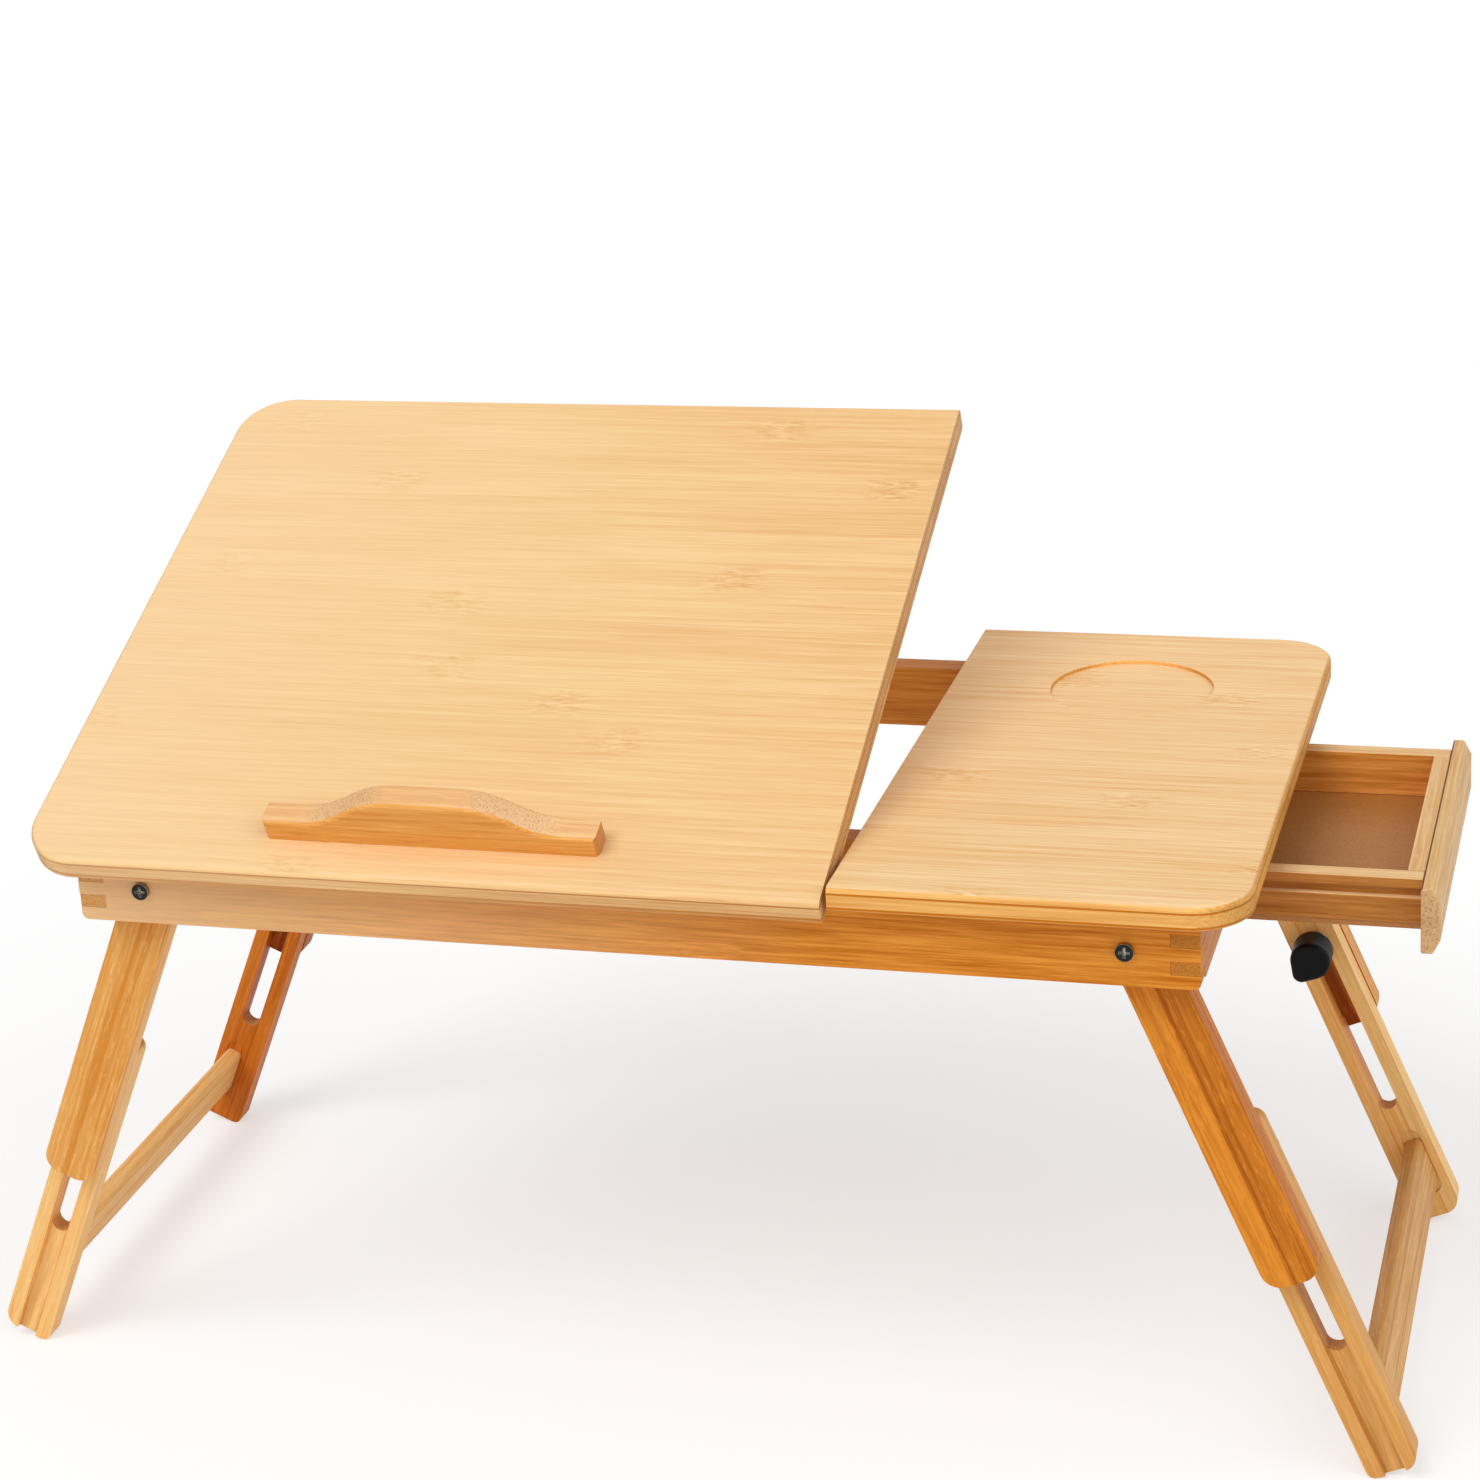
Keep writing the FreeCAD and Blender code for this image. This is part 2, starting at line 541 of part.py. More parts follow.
def stop_ledge():
    """Arched strip that stops a laptop from sliding off the raised panel."""
    long, low, climb = size("ledge_long"), size("ledge_end_high"), size("ledge_rise")
    left_flat, left_run = size("ledge_left_flat"), size("ledge_left_run")
    right_flat, right_run = size("ledge_right_flat"), size("ledge_right_run")

    def point(x, z):
        return FreeCAD.Vector(x, 0, z)
    left_foot = point(left_flat, low)
    left_crown = point(left_flat + left_run, low + climb)
    right_crown = point(long - right_flat - right_run, low + climb)
    right_foot = point(long - right_flat, low)
    edges = [Part.makeLine(point(0, 0), point(0, low)), Part.makeLine(point(0, low), left_foot)]
    edges += rise(left_foot, left_run, climb)
    edges += [Part.makeLine(left_crown, right_crown)]
    edges += rise(right_crown, right_run, -climb)
    edges += [Part.makeLine(right_foot, point(long, low)), Part.makeLine(point(long, low), point(long, 0)),
              Part.makeLine(point(long, 0), point(0, 0))]
    strip = Part.Face(Part.Wire(edges)).extrude(FreeCAD.Vector(0, size("ledge_thick"), 0))
    bite = size("ledge_screw_bite")
    for way in (LEFT, RIGHT):
        spot = FreeCAD.Vector(long / 2 + way * size("ledge_screw_spacing") / 2, size("ledge_thick") / 2, 0)
        strip = strip.cut(Part.makeCylinder(size("ledge_screw_radius"), bite, spot))
    upper = [edge for edge in strip.Edges
             if edge.BoundBox.ZMin > low - TOUCH and edge.BoundBox.YLength < TOUCH
             or runs_along(edge, "z")]
    strip = strip.makeFillet(size("ledge_round"), upper)
    ledge = doc.addObject("Part::Feature", "stop_ledge")
    ledge.Label = "stop_ledge"
    tilt = FreeCAD.Rotation(FreeCAD.Vector(1, 0, 0), size("tilt_angle"))
    from_hinge = FreeCAD.Vector(
        size("ledge_from_left") - size("tray_width") / 2,
        size("hinge_ahead") - size("front_overhang") + size("ledge_from_front"),
        size("panel_thick") - size("seat_gap"))
    ledge.Shape = strip
    ledge.Placement = FreeCAD.Placement(hinge_line_point() + tilt.multVec(from_hinge), tilt)
    pieces.append(ledge)


def hinge_line_point():
    """The hinge line's middle, read back from a piece that is measured from it."""
    doc.recompute()
    return doc.getObject("hinge_pins").Placement.Base


def ledge_screws():
    body = tilting_piece("ledge_screws")
    for x, y in ledge_screw_places():
        rod(body, (x, y, "0"), "ledge_screw_head", "ledge_head_high", "+Z")
        rod(body, (x, y, "ledge_head_high"), "ledge_screw_radius",
            "tilt_panel_thick + ledge_screw_bite - ledge_head_high", "+Z")


# ---------------------------------------------------------------- prop of the tilting panel

PROP_PIVOT = ("prop_centre_x", "hinge_y + prop_reach", "apron_top + seat_gap - prop_below")


def prop_piece(label):
    """A body measured from the prop's pivot line and raised with the prop."""
    body = new_piece(label, PROP_PIVOT)
    turn_piece(body, FreeCAD.Vector(1, 0, 0), "prop_angle")
    return body


def prop_arm(side):
    body = prop_piece("prop_%s_arm" % SIDE_NAMES[side])
    low_x = "-arm_outer" if side == LEFT else "arm_inner"
    block(body, (low_x, "0", "-arm_high / 2"), ("arm_thick", "prop_reach", "arm_high"))
    for y in ("0", "prop_reach"):
        rod(body, (low_x, y, "0"), "arm_high / 2", "arm_thick", "+X")
    rod(body, (low_x, "0", "0"), "arm_screw_radius + running_gap", "arm_thick", "+X", cut=True)
    rod(body, (low_x, "prop_reach", "0"), "rod_radius", "arm_thick", "+X", cut=True)


def prop_crossbar():
    body = prop_piece("prop_crossbar")
    block(body, ("-arm_inner", "prop_bar_from_pivot", "-arm_high / 2"),
          ("2 * arm_inner", "prop_bar_wide", "arm_high"))


def prop_rod():
    """Steel rod across the arm tips, with a nut outside each rail."""
    half = "rail_inner + rail_thick + side_play + rod_nut_thick"
    body = prop_piece("prop_rod")
    rod(body, ("-(%s)" % half, "prop_reach", "0"), "rod_radius", "2 * (%s)" % half, "+X")
    nuts = prop_piece("prop_rod_nuts")
    for side, towards in ((LEFT, "-X"), (RIGHT, "+X")):
        inner = "%d * (rail_inner + rail_thick + side_play)" % side
        rod(nuts, (inner, "prop_reach", "0"), "rod_nut_radius", "rod_nut_thick", towards)
        rod(nuts, (inner, "prop_reach", "0"), "rod_radius", "rod_nut_thick", towards, cut=True)


def prop_mounting():
    """Stretcher across the frame, the blocks behind it and the screws that the arms turn on."""
    stretcher = new_piece("prop_stretcher")
    top = "seat_gap - stretcher_below"
    back = "hinge_y + prop_reach - stretcher_from_pivot"
    block(stretcher, ("side_thick - frame_half_wide", back + " - stretcher_wide", top + " - stretcher_high"),
          ("frame_half_wide - side_thick + divider_left", "stretcher_wide", "stretcher_high"))
    blocks = new_piece("prop_blocks", PROP_PIVOT)
    screws = new_piece("prop_pivot_screws", PROP_PIVOT)
    for side, inwards in ((LEFT, "+X"), (RIGHT, "-X")):
        outer = "arm_inner - side_play"
        low_x = "-(%s)" % outer if side == LEFT else outer + " - block_wide"
        block(blocks, (low_x, "-stretcher_from_pivot", "prop_below - stretcher_below - stretcher_high"),
              ("block_wide", "stretcher_from_pivot + block_behind", "stretcher_high"))
        rod(blocks, ("%d * (%s)" % (side, outer), "0", "0"), "arm_screw_radius", "block_wide",
            inwards, cut=True)
        head = "%d * (arm_outer + side_play)" % side
        rod(screws, (head, "0", "0"), "arm_screw_radius",
            "arm_thick + 2 * side_play + block_wide", inwards)
        rod(screws, (head, "0", "0"), "arm_screw_head", "arm_screw_head_high",
            "-X" if side == LEFT else "+X")


def rail_screw_places():
    """Two screws in each rail's flange."""
    middle = "rail_inner + rail_thick - rail_flange / 2"
    return [("prop_centre_x + %d * (%s)" % (side, middle), y)
            for side in (LEFT, RIGHT)
            for y in ("rail_start + rail_screw_from_end", "rail_end - rail_screw_from_end")]


def tilt_rails():
    """Two angle rails under the panel, slotted and notched for the prop's rod."""
    body = tilting_piece("tilt_rails")
    half_slot = "(rod_radius + track_gap)"
    for side in (LEFT, RIGHT):
        wall = "prop_centre_x + %d * (rail_inner + rail_thick / 2) - rail_thick / 2" % side
        flange = wall if side == LEFT else wall + " + rail_thick - rail_flange"
        rail_long = "rail_end - rail_start"
        block(body, (flange, "rail_start", "-rail_thick"), ("rail_flange", rail_long, "rail_thick"))
        block(body, (wall, "rail_start", "-rail_high"), ("rail_thick", rail_long, "rail_high"))
        block(body, (wall, "track_start", "-prop_below - " + half_slot),
              ("rail_thick", "track_end - track_start", "2 * " + half_slot), cut=True)
        for y in ("track_start", "track_end"):
            rod(body, (wall, y, "-prop_below"), half_slot, "rail_thick", "+X", cut=True)
        for notch in range(FINGERS):
            rod(body, (wall, "track_start + %d * notch_spacing" % notch, "notch_rise - prop_below"),
                half_slot, "rail_thick", "+X", cut=True)
    for x, y in rail_screw_places():
        rod(body, (x, y, "-rail_thick"), "small_head_radius", "rail_thick", "+Z", cut=True)
    screws = tilting_piece("tilt_rail_screws")
    for x, y in rail_screw_places():
        small_screw(screws, x, y, "-rail_thick", "rail_thick", "+Z")


# ---------------------------------------------------------------- legs

def leg_piece(label, side):
    """A body measured from a leg pair's pivot line, with the leg running along its own -Z."""
    body = new_piece(label, ("%d * pivot_x" % side, "0", "pivot_high"))
    turn_piece(body, FreeCAD.Vector(0, 1, 0), "%d * leg_splay_angle" % -side)
    return body


def across(end, inner, outer):
    """Lowest Y and width of a slab between two distances from the middle plane."""
    return (inner if end == BACK else "-(%s)" % outer), "(%s) - (%s)" % (outer, inner)


def inwards(end):
    return "+Y" if end == FRONT else "-Y"


def outwards(end):
    return "-Y" if end == FRONT else "+Y"


def round_leg_end(body, radius, at_top, side=None):
    """Round a leg's end corners: both, or the one on the given side."""
    def wanted(edge):
        box, spot = body.Tip.Shape.BoundBox, edge.BoundBox
        height = box.ZMax if at_top else box.ZMin
        on_side = side is None or lies(spot.XMin, spot.XMax, box.XMax if side == RIGHT else box.XMin)
        return runs_along(edge, "y") and lies(spot.ZMin, spot.ZMax, height) and on_side
    round_edges(body, radius, wanted)


def upper_leg(side, end):
    """Leg half that turns on the frame, with a tongue on its inner face and a bedded clamp stud."""
    body = leg_piece("%s_%s_upper_leg" % (END_NAMES[end], SIDE_NAMES[side]), side)
    low_y, thick = across(end, "upper_inner", "upper_outer")
    block(body, ("-upper_leg_wide / 2", low_y, "-upper_leg_end"), ("upper_leg_wide", thick, "upper_leg_end"))
    round_leg_end(body, "upper_leg_corner", at_top=False)
    outer_y = "%d * upper_outer" % end
    rod(body, ("0", outer_y, "0"), "upper_leg_wide / 2", "upper_leg_thick", inwards(end))
    low_y, thick = across(end, "upper_inner - tongue_high", "upper_inner")
    block(body, ("-tongue_wide / 2", low_y, "-tongue_end"),
          ("tongue_wide", thick, "tongue_end - tongue_start"))
    rod(body, ("0", outer_y, "0"), "pivot_screw_radius + running_gap", "upper_leg_thick",
        inwards(end), cut=True)
    rod(body, ("0", "%d * (upper_inner - tongue_high)" % end, "-clamp_at"), "stud_radius",
        "stud_bedded + tongue_high", outwards(end), cut=True)


def lower_leg(side, end):
    """Telescoping leg: a through slot for the clamp stud and a groove for the upper leg's tongue."""
    body = leg_piece("%s_%s_lower_leg" % (END_NAMES[end], SIDE_NAMES[side]), side)
    low_y, thick = across(end, "lower_inner", "lower_outer")
    block(body, ("-lower_leg_wide / 2", low_y, "-leg_reach"),
          ("lower_leg_wide", thick, "leg_reach - lower_leg_top"))
    round_leg_end(body, "lower_top_corner", at_top=True)
    round_leg_end(body, "foot_outer_corner", at_top=False, side=side)
    round_leg_end(body, "foot_inner_corner", at_top=False, side=-side)
    block(body, ("-slot_wide / 2", low_y, "-slot_bottom + slot_wide / 2"),
          ("slot_wide", thick, "slot_bottom - slot_top - slot_wide"), cut=True)
    for height in ("-slot_bottom + slot_wide / 2", "-slot_top - slot_wide / 2"):
        rod(body, ("0", "%d * lower_outer" % end, height), "slot_wide / 2", "lower_leg_thick",
            inwards(end), cut=True)
    low_y, deep = across(end, "lower_outer - leg_groove_deep", "lower_outer")
    block(body, ("-slot_wide / 2", low_y, "-leg_reach"), ("slot_wide", deep, "leg_reach - lower_leg_top"),
          cut=True)
    low_y, deep = across(end, "lower_inner", "lower_inner + tenon_long")
    block(body, (tenon_low_x(side), low_y, tenon_low_z()), ("tenon_thick", deep, "tenon_wide"), cut=True)
    crossbar_socket(body, side, end)


def crossbar_socket(body, side, end):
    """Shallow round-ended recess that the crossbar's end sits in."""
    middle = "%d * (crossbar_thick / 2 - crossbar_inset)" % side
    radius = "(crossbar_thick / 2 + socket_gap)"
    top = "-crossbar_top + socket_beyond - " + radius
    bottom = "-crossbar_top - crossbar_wide - socket_beyond + " + radius
    low_y, deep = across(end, "lower_inner", "lower_inner + socket_deep")
    block(body, (middle + " - " + radius, low_y, bottom),
          ("2 * " + radius, deep, "(%s) - (%s)" % (top, bottom)), cut=True)
    for height in (top, bottom):
        rod(body, (middle, "%d * lower_inner" % end, height), radius, "socket_deep", outwards(end), cut=True)


def tenon_low_x(side):
    near = "crossbar_thick / 2 - crossbar_inset"
    return "%d * (%s) - tenon_thick / 2" % (side, near)


def tenon_low_z():
    return "-crossbar_top - crossbar_wide / 2 - tenon_wide / 2"


def crossbar(side):
    """Bar that joins a pair of lower legs, tenoned into both."""
    body = leg_piece(SIDE_NAMES[side] + "_crossbar", side)
    low_x = "%d * (crossbar_thick / 2 - crossbar_inset) - crossbar_thick / 2" % side
    block(body, (low_x, "-lower_inner - socket_deep", "-crossbar_top - crossbar_wide"),
          ("crossbar_thick", "2 * (lower_inner + socket_deep)", "crossbar_wide"))
    round_edges(body, "crossbar_round", lambda edge: runs_along(edge, "y"))
    block(body, (tenon_low_x(side), "-lower_inner - tenon_long", tenon_low_z()),
          ("tenon_thick", "2 * (lower_inner + tenon_long)", "tenon_wide"))


def clamp_hardware(side):
    """Studs bedded in the upper legs and the washers under their knobs."""
    studs = leg_piece(SIDE_NAMES[side] + "_clamp_studs", side)
    washers = leg_piece(SIDE_NAMES[side] + "_clamp_washers", side)
    for end in (FRONT, BACK):
        rod(studs, ("0", "%d * (upper_inner + stud_bedded)" % end, "-clamp_at"), "stud_radius",
            "stud_bedded + " + STUD_PROUD[end], inwards(end))
        start = "%d * (lower_inner - clamp_gap)" % end
        rod(washers, ("0", start, "-clamp_at"), "clamp_washer_radius", "clamp_washer_thick", inwards(end))
        rod(washers, ("0", start, "-clamp_at"), "stud_radius", "clamp_washer_thick", inwards(end), cut=True)


def clamp_knob(side, end):
    """Thumb knob with a collar and one lobe, threaded on its stud."""
    body = leg_piece("%s_%s_clamp_knob" % (END_NAMES[end], SIDE_NAMES[side]), side)
    knob_long, collar_long, angle = KNOB_LONG[end], COLLAR_LONG[end], LOBE_ANGLE[end]
    grip_start = "%d * (knob_seat - %s)" % (end, collar_long)
    grip_long = knob_long + " - " + collar_long

    def spot(out, off):
        """A place measured out along the lobe and off to one side of it."""
        return ("%d * ((%s) * cos(%s) - (%s) * sin(%s))" % (-side, out, angle, off, angle),
                "-(%s) * sin(%s) - (%s) * cos(%s) - clamp_at" % (out, angle, off, angle))
    rod(body, ("0", grip_start, "-clamp_at"), "knob_radius", grip_long, inwards(end))
    lobe_x, lobe_z = spot("lobe_out", "0")
    rod(body, (lobe_x, grip_start, lobe_z), "lobe_radius", grip_long, inwards(end))
    flanks = [spot(out, sign + "(" + off + ")") for sign, half in (("", LOBE_FLANK), ("-", LOBE_FLANK[::-1]))
              for out, off in half]
    low_y, thick = across(end, "knob_seat - " + knob_long, "knob_seat - " + collar_long)
    pad(body, outline(body, "XZ_Plane", flanks, "-(%s)" % low_y), thick, backwards=True)

    def rim(edge):
        middle = abs(edge.BoundBox.Center.y)
        return edge.BoundBox.YLength < TOUCH and middle < abs(body.Tip.Shape.BoundBox.Center.y)
    round_edges(body, "knob_round", rim)
    rod(body, ("0", "%d * knob_seat" % end, "-clamp_at"), "knob_collar_radius",
        collar_long, inwards(end))
    rod(body, ("0", "%d * knob_seat" % end, "-clamp_at"), "stud_radius + running_gap",
        BORE_DEEP[end], inwards(end), cut=True)


def pivot_hardware():
    """Cross-recessed screws through the long aprons, with washers and nuts on the legs."""
    screws = new_piece("leg_pivot_screws", ("0", "0", "pivot_high"))
    washers = new_piece("leg_pivot_washers", ("0", "0", "pivot_high"))
    nuts = new_piece("leg_pivot_nuts", ("0", "0", "pivot_high"))
    for side in (LEFT, RIGHT):
        for end in (FRONT, BACK):
            x = "%d * pivot_x" % side
            face = "%d * frame_half_deep" % end
            rod(screws, (x, face, "0"), "pivot_screw_radius",
                "frame_half_deep - upper_inner + washer_gap + nut_thick", inwards(end))
            rod(screws, (x, face, "0"), "screw_head_radius", "screw_head_high", outwards(end))
            low_y, deep = across(end, "frame_half_deep + screw_head_high - recess_deep",
                                 "frame_half_deep + screw_head_high")
            block(screws, (x + " - recess_long / 2", low_y, "-recess_wide / 2"),
                  ("recess_long", deep, "recess_wide"), cut=True)
            block(screws, (x + " - recess_wide / 2", low_y, "-recess_long / 2"),
                  ("recess_wide", deep, "recess_long"), cut=True)
            start = "%d * (upper_outer + washer_gap)" % end
            rod(washers, (x, start, "0"), "washer_radius", "washer_thick", outwards(end))
            rod(washers, (x, start, "0"), "pivot_screw_radius", "washer_thick", outwards(end), cut=True)
            start = "%d * (upper_inner - washer_gap)" % end
            hexagon(nuts, (x, start, "0"), "nut_radius", "nut_thick", inwards(end))
            rod(nuts, (x, start, "0"), "pivot_screw_radius", "nut_thick", inwards(end), cut=True)


# ---------------------------------------------------------------- drawer

def drawer_piece(label):
    """A body measured with the drawer closed, then pulled out along X."""
    return new_piece(label, ("drawer_pull", "0", "apron_top - drawer_below_top"))


def drawer_side(end):
    """Side wall with a long groove for its runner."""
    body = drawer_piece("drawer_side_" + END_NAMES[end])
    low_y, thick = across(end, "drawer_wide / 2 - drawer_wall", "drawer_wide / 2")
    block(body, ("drawer_left", low_y, "drawer_floor - drawer_high"),
          ("drawer_long", thick, "drawer_high - drawer_floor"))
    low_y, deep = across(end, "drawer_wide / 2 - groove_deep", "drawer_wide / 2")
    block(body, ("drawer_left", low_y, "-drawer_lip - groove_high"),
          ("drawer_long", deep, "groove_high"), cut=True)


def drawer_ends():
    inner_half = "(drawer_wide / 2 - drawer_wall)"
    for label, low_x in (("drawer_inner_end", "drawer_left"),
                         ("drawer_outer_end", "frame_half_wide - drawer_end_wall")):
        body = drawer_piece(label)
        block(body, (low_x, "-" + inner_half, "drawer_floor - drawer_high"),
              ("drawer_end_wall", "2 * " + inner_half, "drawer_high - drawer_floor"))
        if label == "drawer_outer_end":
            cut_face_screw_holes(body)


def drawer_floor():
    body = drawer_piece("drawer_floor_board")
    block(body, ("drawer_left + floor_inset", "floor_inset - drawer_wide / 2", "-drawer_high"),
          ("drawer_long - floor_inset", "drawer_wide - 2 * floor_inset", "drawer_floor"))


def drawer_face():
    """Pale face board with bevelled outer edges at its top and bottom."""
    body = drawer_piece("drawer_face")
    top = "drawer_below_top - face_below_top"
    inner, outer = "frame_half_wide", "frame_half_wide + face_thick"
    low = "(%s) - face_high" % top
    corners = [(inner, low), (outer + " - face_bevel_deep", low), (outer, low + " + face_bevel_high"),
               (outer, top + " - face_bevel_high"), (outer + " - face_bevel_deep", top), (inner, top)]
    pad(body, outline(body, "XZ_Plane", corners, "face_wide / 2"), "face_wide", backwards=True)
    cut_face_screw_holes(body)


def face_screw_places():
    return [("frame_half_wide - drawer_end_wall", "%d * face_screw_spacing / 2" % end,
             "-drawer_high / 2") for end in (FRONT, BACK)]


def cut_face_screw_holes(body):
    for place in face_screw_places():
        rod(body, place, "face_screw_radius", "face_screw_long", "+X", cut=True)


def face_screws():
    """Screws from inside the drawer into its face board."""
    body = drawer_piece("drawer_face_screws")
    for place in face_screw_places():
        rod(body, place, "face_screw_radius", "face_screw_long", "+X")
        rod(body, place, "face_screw_head", "face_screw_head_high", "-X")


# ---------------------------------------------------------------- assembly

def check_and_write():
    """Stop on any failed feature or unsound shape, then write one file for each piece."""
    doc.recompute()
    for item in doc.Objects:
        if "Invalid" in item.State or "Error" in item.State:
            raise RuntimeError("failed feature: " + item.Name)
    for piece in pieces:
        if piece.Shape.isNull() or not piece.Shape.isValid():
            raise RuntimeError("unsound shape: " + piece.Label)
    os.makedirs("parts", exist_ok=True)
    for piece in pieces:
        piece.Shape.exportStep("parts/%s.step" % piece.Label)
        print("%-26s %2d solids %10.1f mm3" % (piece.Label, len(piece.Shape.Solids), piece.Shape.Volume))
    print(len(pieces), "pieces, tray top at", round(doc.getObject("fixed_panel").Shape.BoundBox.ZMax, 3))


for end in (FRONT, BACK):
    long_apron(end)
    right_stub(end)
    drawer_guide(end)
left_apron()
divider()
fixed_panel()
tilting_panel()
hinge_leaves("hinge_frame_leaves", moving=False)
hinge_leaves("hinge_panel_leaves", moving=True)
hinge_pins()
hinge_screws()
stop_ledge()
ledge_screws()
prop_mounting()
for side in (LEFT, RIGHT):
    prop_arm(side)
prop_crossbar()
prop_rod()
tilt_rails()
pivot_hardware()
for side in (LEFT, RIGHT):
    for end in (FRONT, BACK):
        upper_leg(side, end)
        lower_leg(side, end)
        clamp_knob(side, end)
    crossbar(side)
    clamp_hardware(side)
for end in (FRONT, BACK):
    drawer_side(end)
drawer_ends()
drawer_floor()
drawer_face()
face_screws()
check_and_write()
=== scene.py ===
"""Folding bamboo laptop stand with a side drawer: its finishes, hardware, light and camera.

Metres, +X right, +Y back, +Z up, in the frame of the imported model.
"""
import bmesh
import bpy
import json
import math
from mathutils import Euler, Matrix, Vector


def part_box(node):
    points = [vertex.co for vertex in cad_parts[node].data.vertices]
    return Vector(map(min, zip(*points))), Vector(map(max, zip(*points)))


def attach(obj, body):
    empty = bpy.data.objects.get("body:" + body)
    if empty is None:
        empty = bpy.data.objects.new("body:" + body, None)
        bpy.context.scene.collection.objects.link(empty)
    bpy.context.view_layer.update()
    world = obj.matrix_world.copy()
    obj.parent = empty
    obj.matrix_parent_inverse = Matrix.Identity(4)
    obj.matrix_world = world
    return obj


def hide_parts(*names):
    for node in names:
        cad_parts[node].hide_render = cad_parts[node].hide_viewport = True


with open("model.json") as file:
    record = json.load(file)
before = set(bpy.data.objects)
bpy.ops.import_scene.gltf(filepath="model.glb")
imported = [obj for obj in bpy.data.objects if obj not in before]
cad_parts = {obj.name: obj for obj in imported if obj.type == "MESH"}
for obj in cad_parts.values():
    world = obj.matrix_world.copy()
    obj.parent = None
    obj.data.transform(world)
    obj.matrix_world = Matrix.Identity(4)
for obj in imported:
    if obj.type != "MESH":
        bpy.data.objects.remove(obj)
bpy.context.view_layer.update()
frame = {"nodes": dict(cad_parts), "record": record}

MM = 0.001

# Camera: the sensor and lens are in millimetres, the place in metres and the turns in degrees.
SENSOR, LENS = 36.0, 82.0
LENS_SHIFT = (0.0289, -0.0830)
CAMERA_PLACE = (0.40648, -1.28311, 0.76736)
CAMERA_TURNS = (71.3122, 3.6121, 16.3537)

# Each lamp: its strength, how wide it looks from the stand, and its turns, both in degrees.
LAMPS = {
    "key_light": (1.25, 35, (38, 0, -32)),
    "fill_light": (0.9, 60, (52, 0, 62)),
}
ROOM_GLOW, ROOM_SEEN = 0.46, 1.0
FLOOR_PAINT, FLOOR_PAINT_SEEN, FLOOR_LIFT = 0.9, 0.5, 0.54


# ---------------------------------------------------------------- camera, floor and light

def radians(turns):
    """Three turns in degrees as the angles Blender takes."""
    return [math.radians(turn) for turn in turns]


def place_camera():
    """The view from the front right, a little above the tray."""
    data = bpy.data.cameras.new("camera")
    data.sensor_width = SENSOR
    data.lens = LENS
    data.shift_x, data.shift_y = LENS_SHIFT
    data.clip_start, data.clip_end = 0.05, 60
    camera = bpy.data.objects.new("camera", data)
    camera.location = CAMERA_PLACE
    camera.rotation_euler = radians(CAMERA_TURNS)
    bpy.context.scene.collection.objects.link(camera)
    bpy.context.scene.camera = camera


def add(tree, kind, inputs=None, **settings):
    """Add a shader node, apply its settings, then set or link its inputs."""
    made = tree.nodes.new("ShaderNode" + kind)
    for name, value in settings.items():
        setattr(made, name, value)
    for key, value in (inputs or {}).items():
        if isinstance(value, bpy.types.NodeSocket):
            tree.links.new(value, made.inputs[key])
        else:
            made.inputs[key].default_value = value
    return made


def maths(tree, operation, first, second=0.0, third=0.0, clamp=False):
    """The result of one Math node."""
    made = add(tree, "Math", {0: first, 1: second, 2: third}, operation=operation, use_clamp=clamp)
    return made.outputs[0]


def mixed(tree, share, low, high, blend="MIX"):
    """Two colours mixed by a share of the second."""
    made = add(tree, "Mix", {0: share, 6: low, 7: high}, data_type="RGBA", blend_type=blend,
               clamp_factor=True)
    return made.outputs[2]


def ramped(tree, value, low, high, start=0.0, end=1.0, smooth=True):
    """A value that goes from start to end while the input goes from low to high."""
    made = add(tree, "MapRange", {"Value": value, "From Min": low, "From Max": high,
                                  "To Min": start, "To Max": end},
               interpolation_type="SMOOTHSTEP" if smooth else "LINEAR")
    return made.outputs[0]


def new_material(name):
    """An empty node material and its output node."""
    material = bpy.data.materials.new(name)
    material.use_nodes = True
    material.node_tree.nodes.clear()
    return material, add(material.node_tree, "OutputMaterial")


def seen_directly(tree):
    """1 for what the camera, a reflection or glass shows, 0 for what lights the object."""
    path = add(tree, "LightPath").outputs
    seen = maths(tree, "MAXIMUM", path["Is Camera Ray"], path["Is Glossy Ray"])
    return maths(tree, "MAXIMUM", seen, path["Is Transmission Ray"])


def light_the_room():
    """A white studio that glows softly, with a wide key light and a wider fill light."""
    bpy.context.scene.view_settings.view_transform = "Standard"
    world = bpy.data.worlds.new("studio")
    bpy.context.scene.world = world
    world.use_nodes = True
    tree = world.node_tree
    tree.nodes.clear()
    level = ramped(tree, seen_directly(tree), 0, 1, ROOM_GLOW, ROOM_SEEN, smooth=False)
    back = add(tree, "Background", {"Color": (1, 1, 1, 1), "Strength": level})
    add(tree, "OutputWorld", {"Surface": back.outputs[0]})
    for name, (strength, spread, turns) in LAMPS.items():
        data = bpy.data.lights.new(name, "SUN")
        data.energy = strength
        data.angle = math.radians(spread)
        lamp = bpy.data.objects.new(name, data)
        lamp.rotation_euler = radians(turns)
        bpy.context.scene.collection.objects.link(lamp)


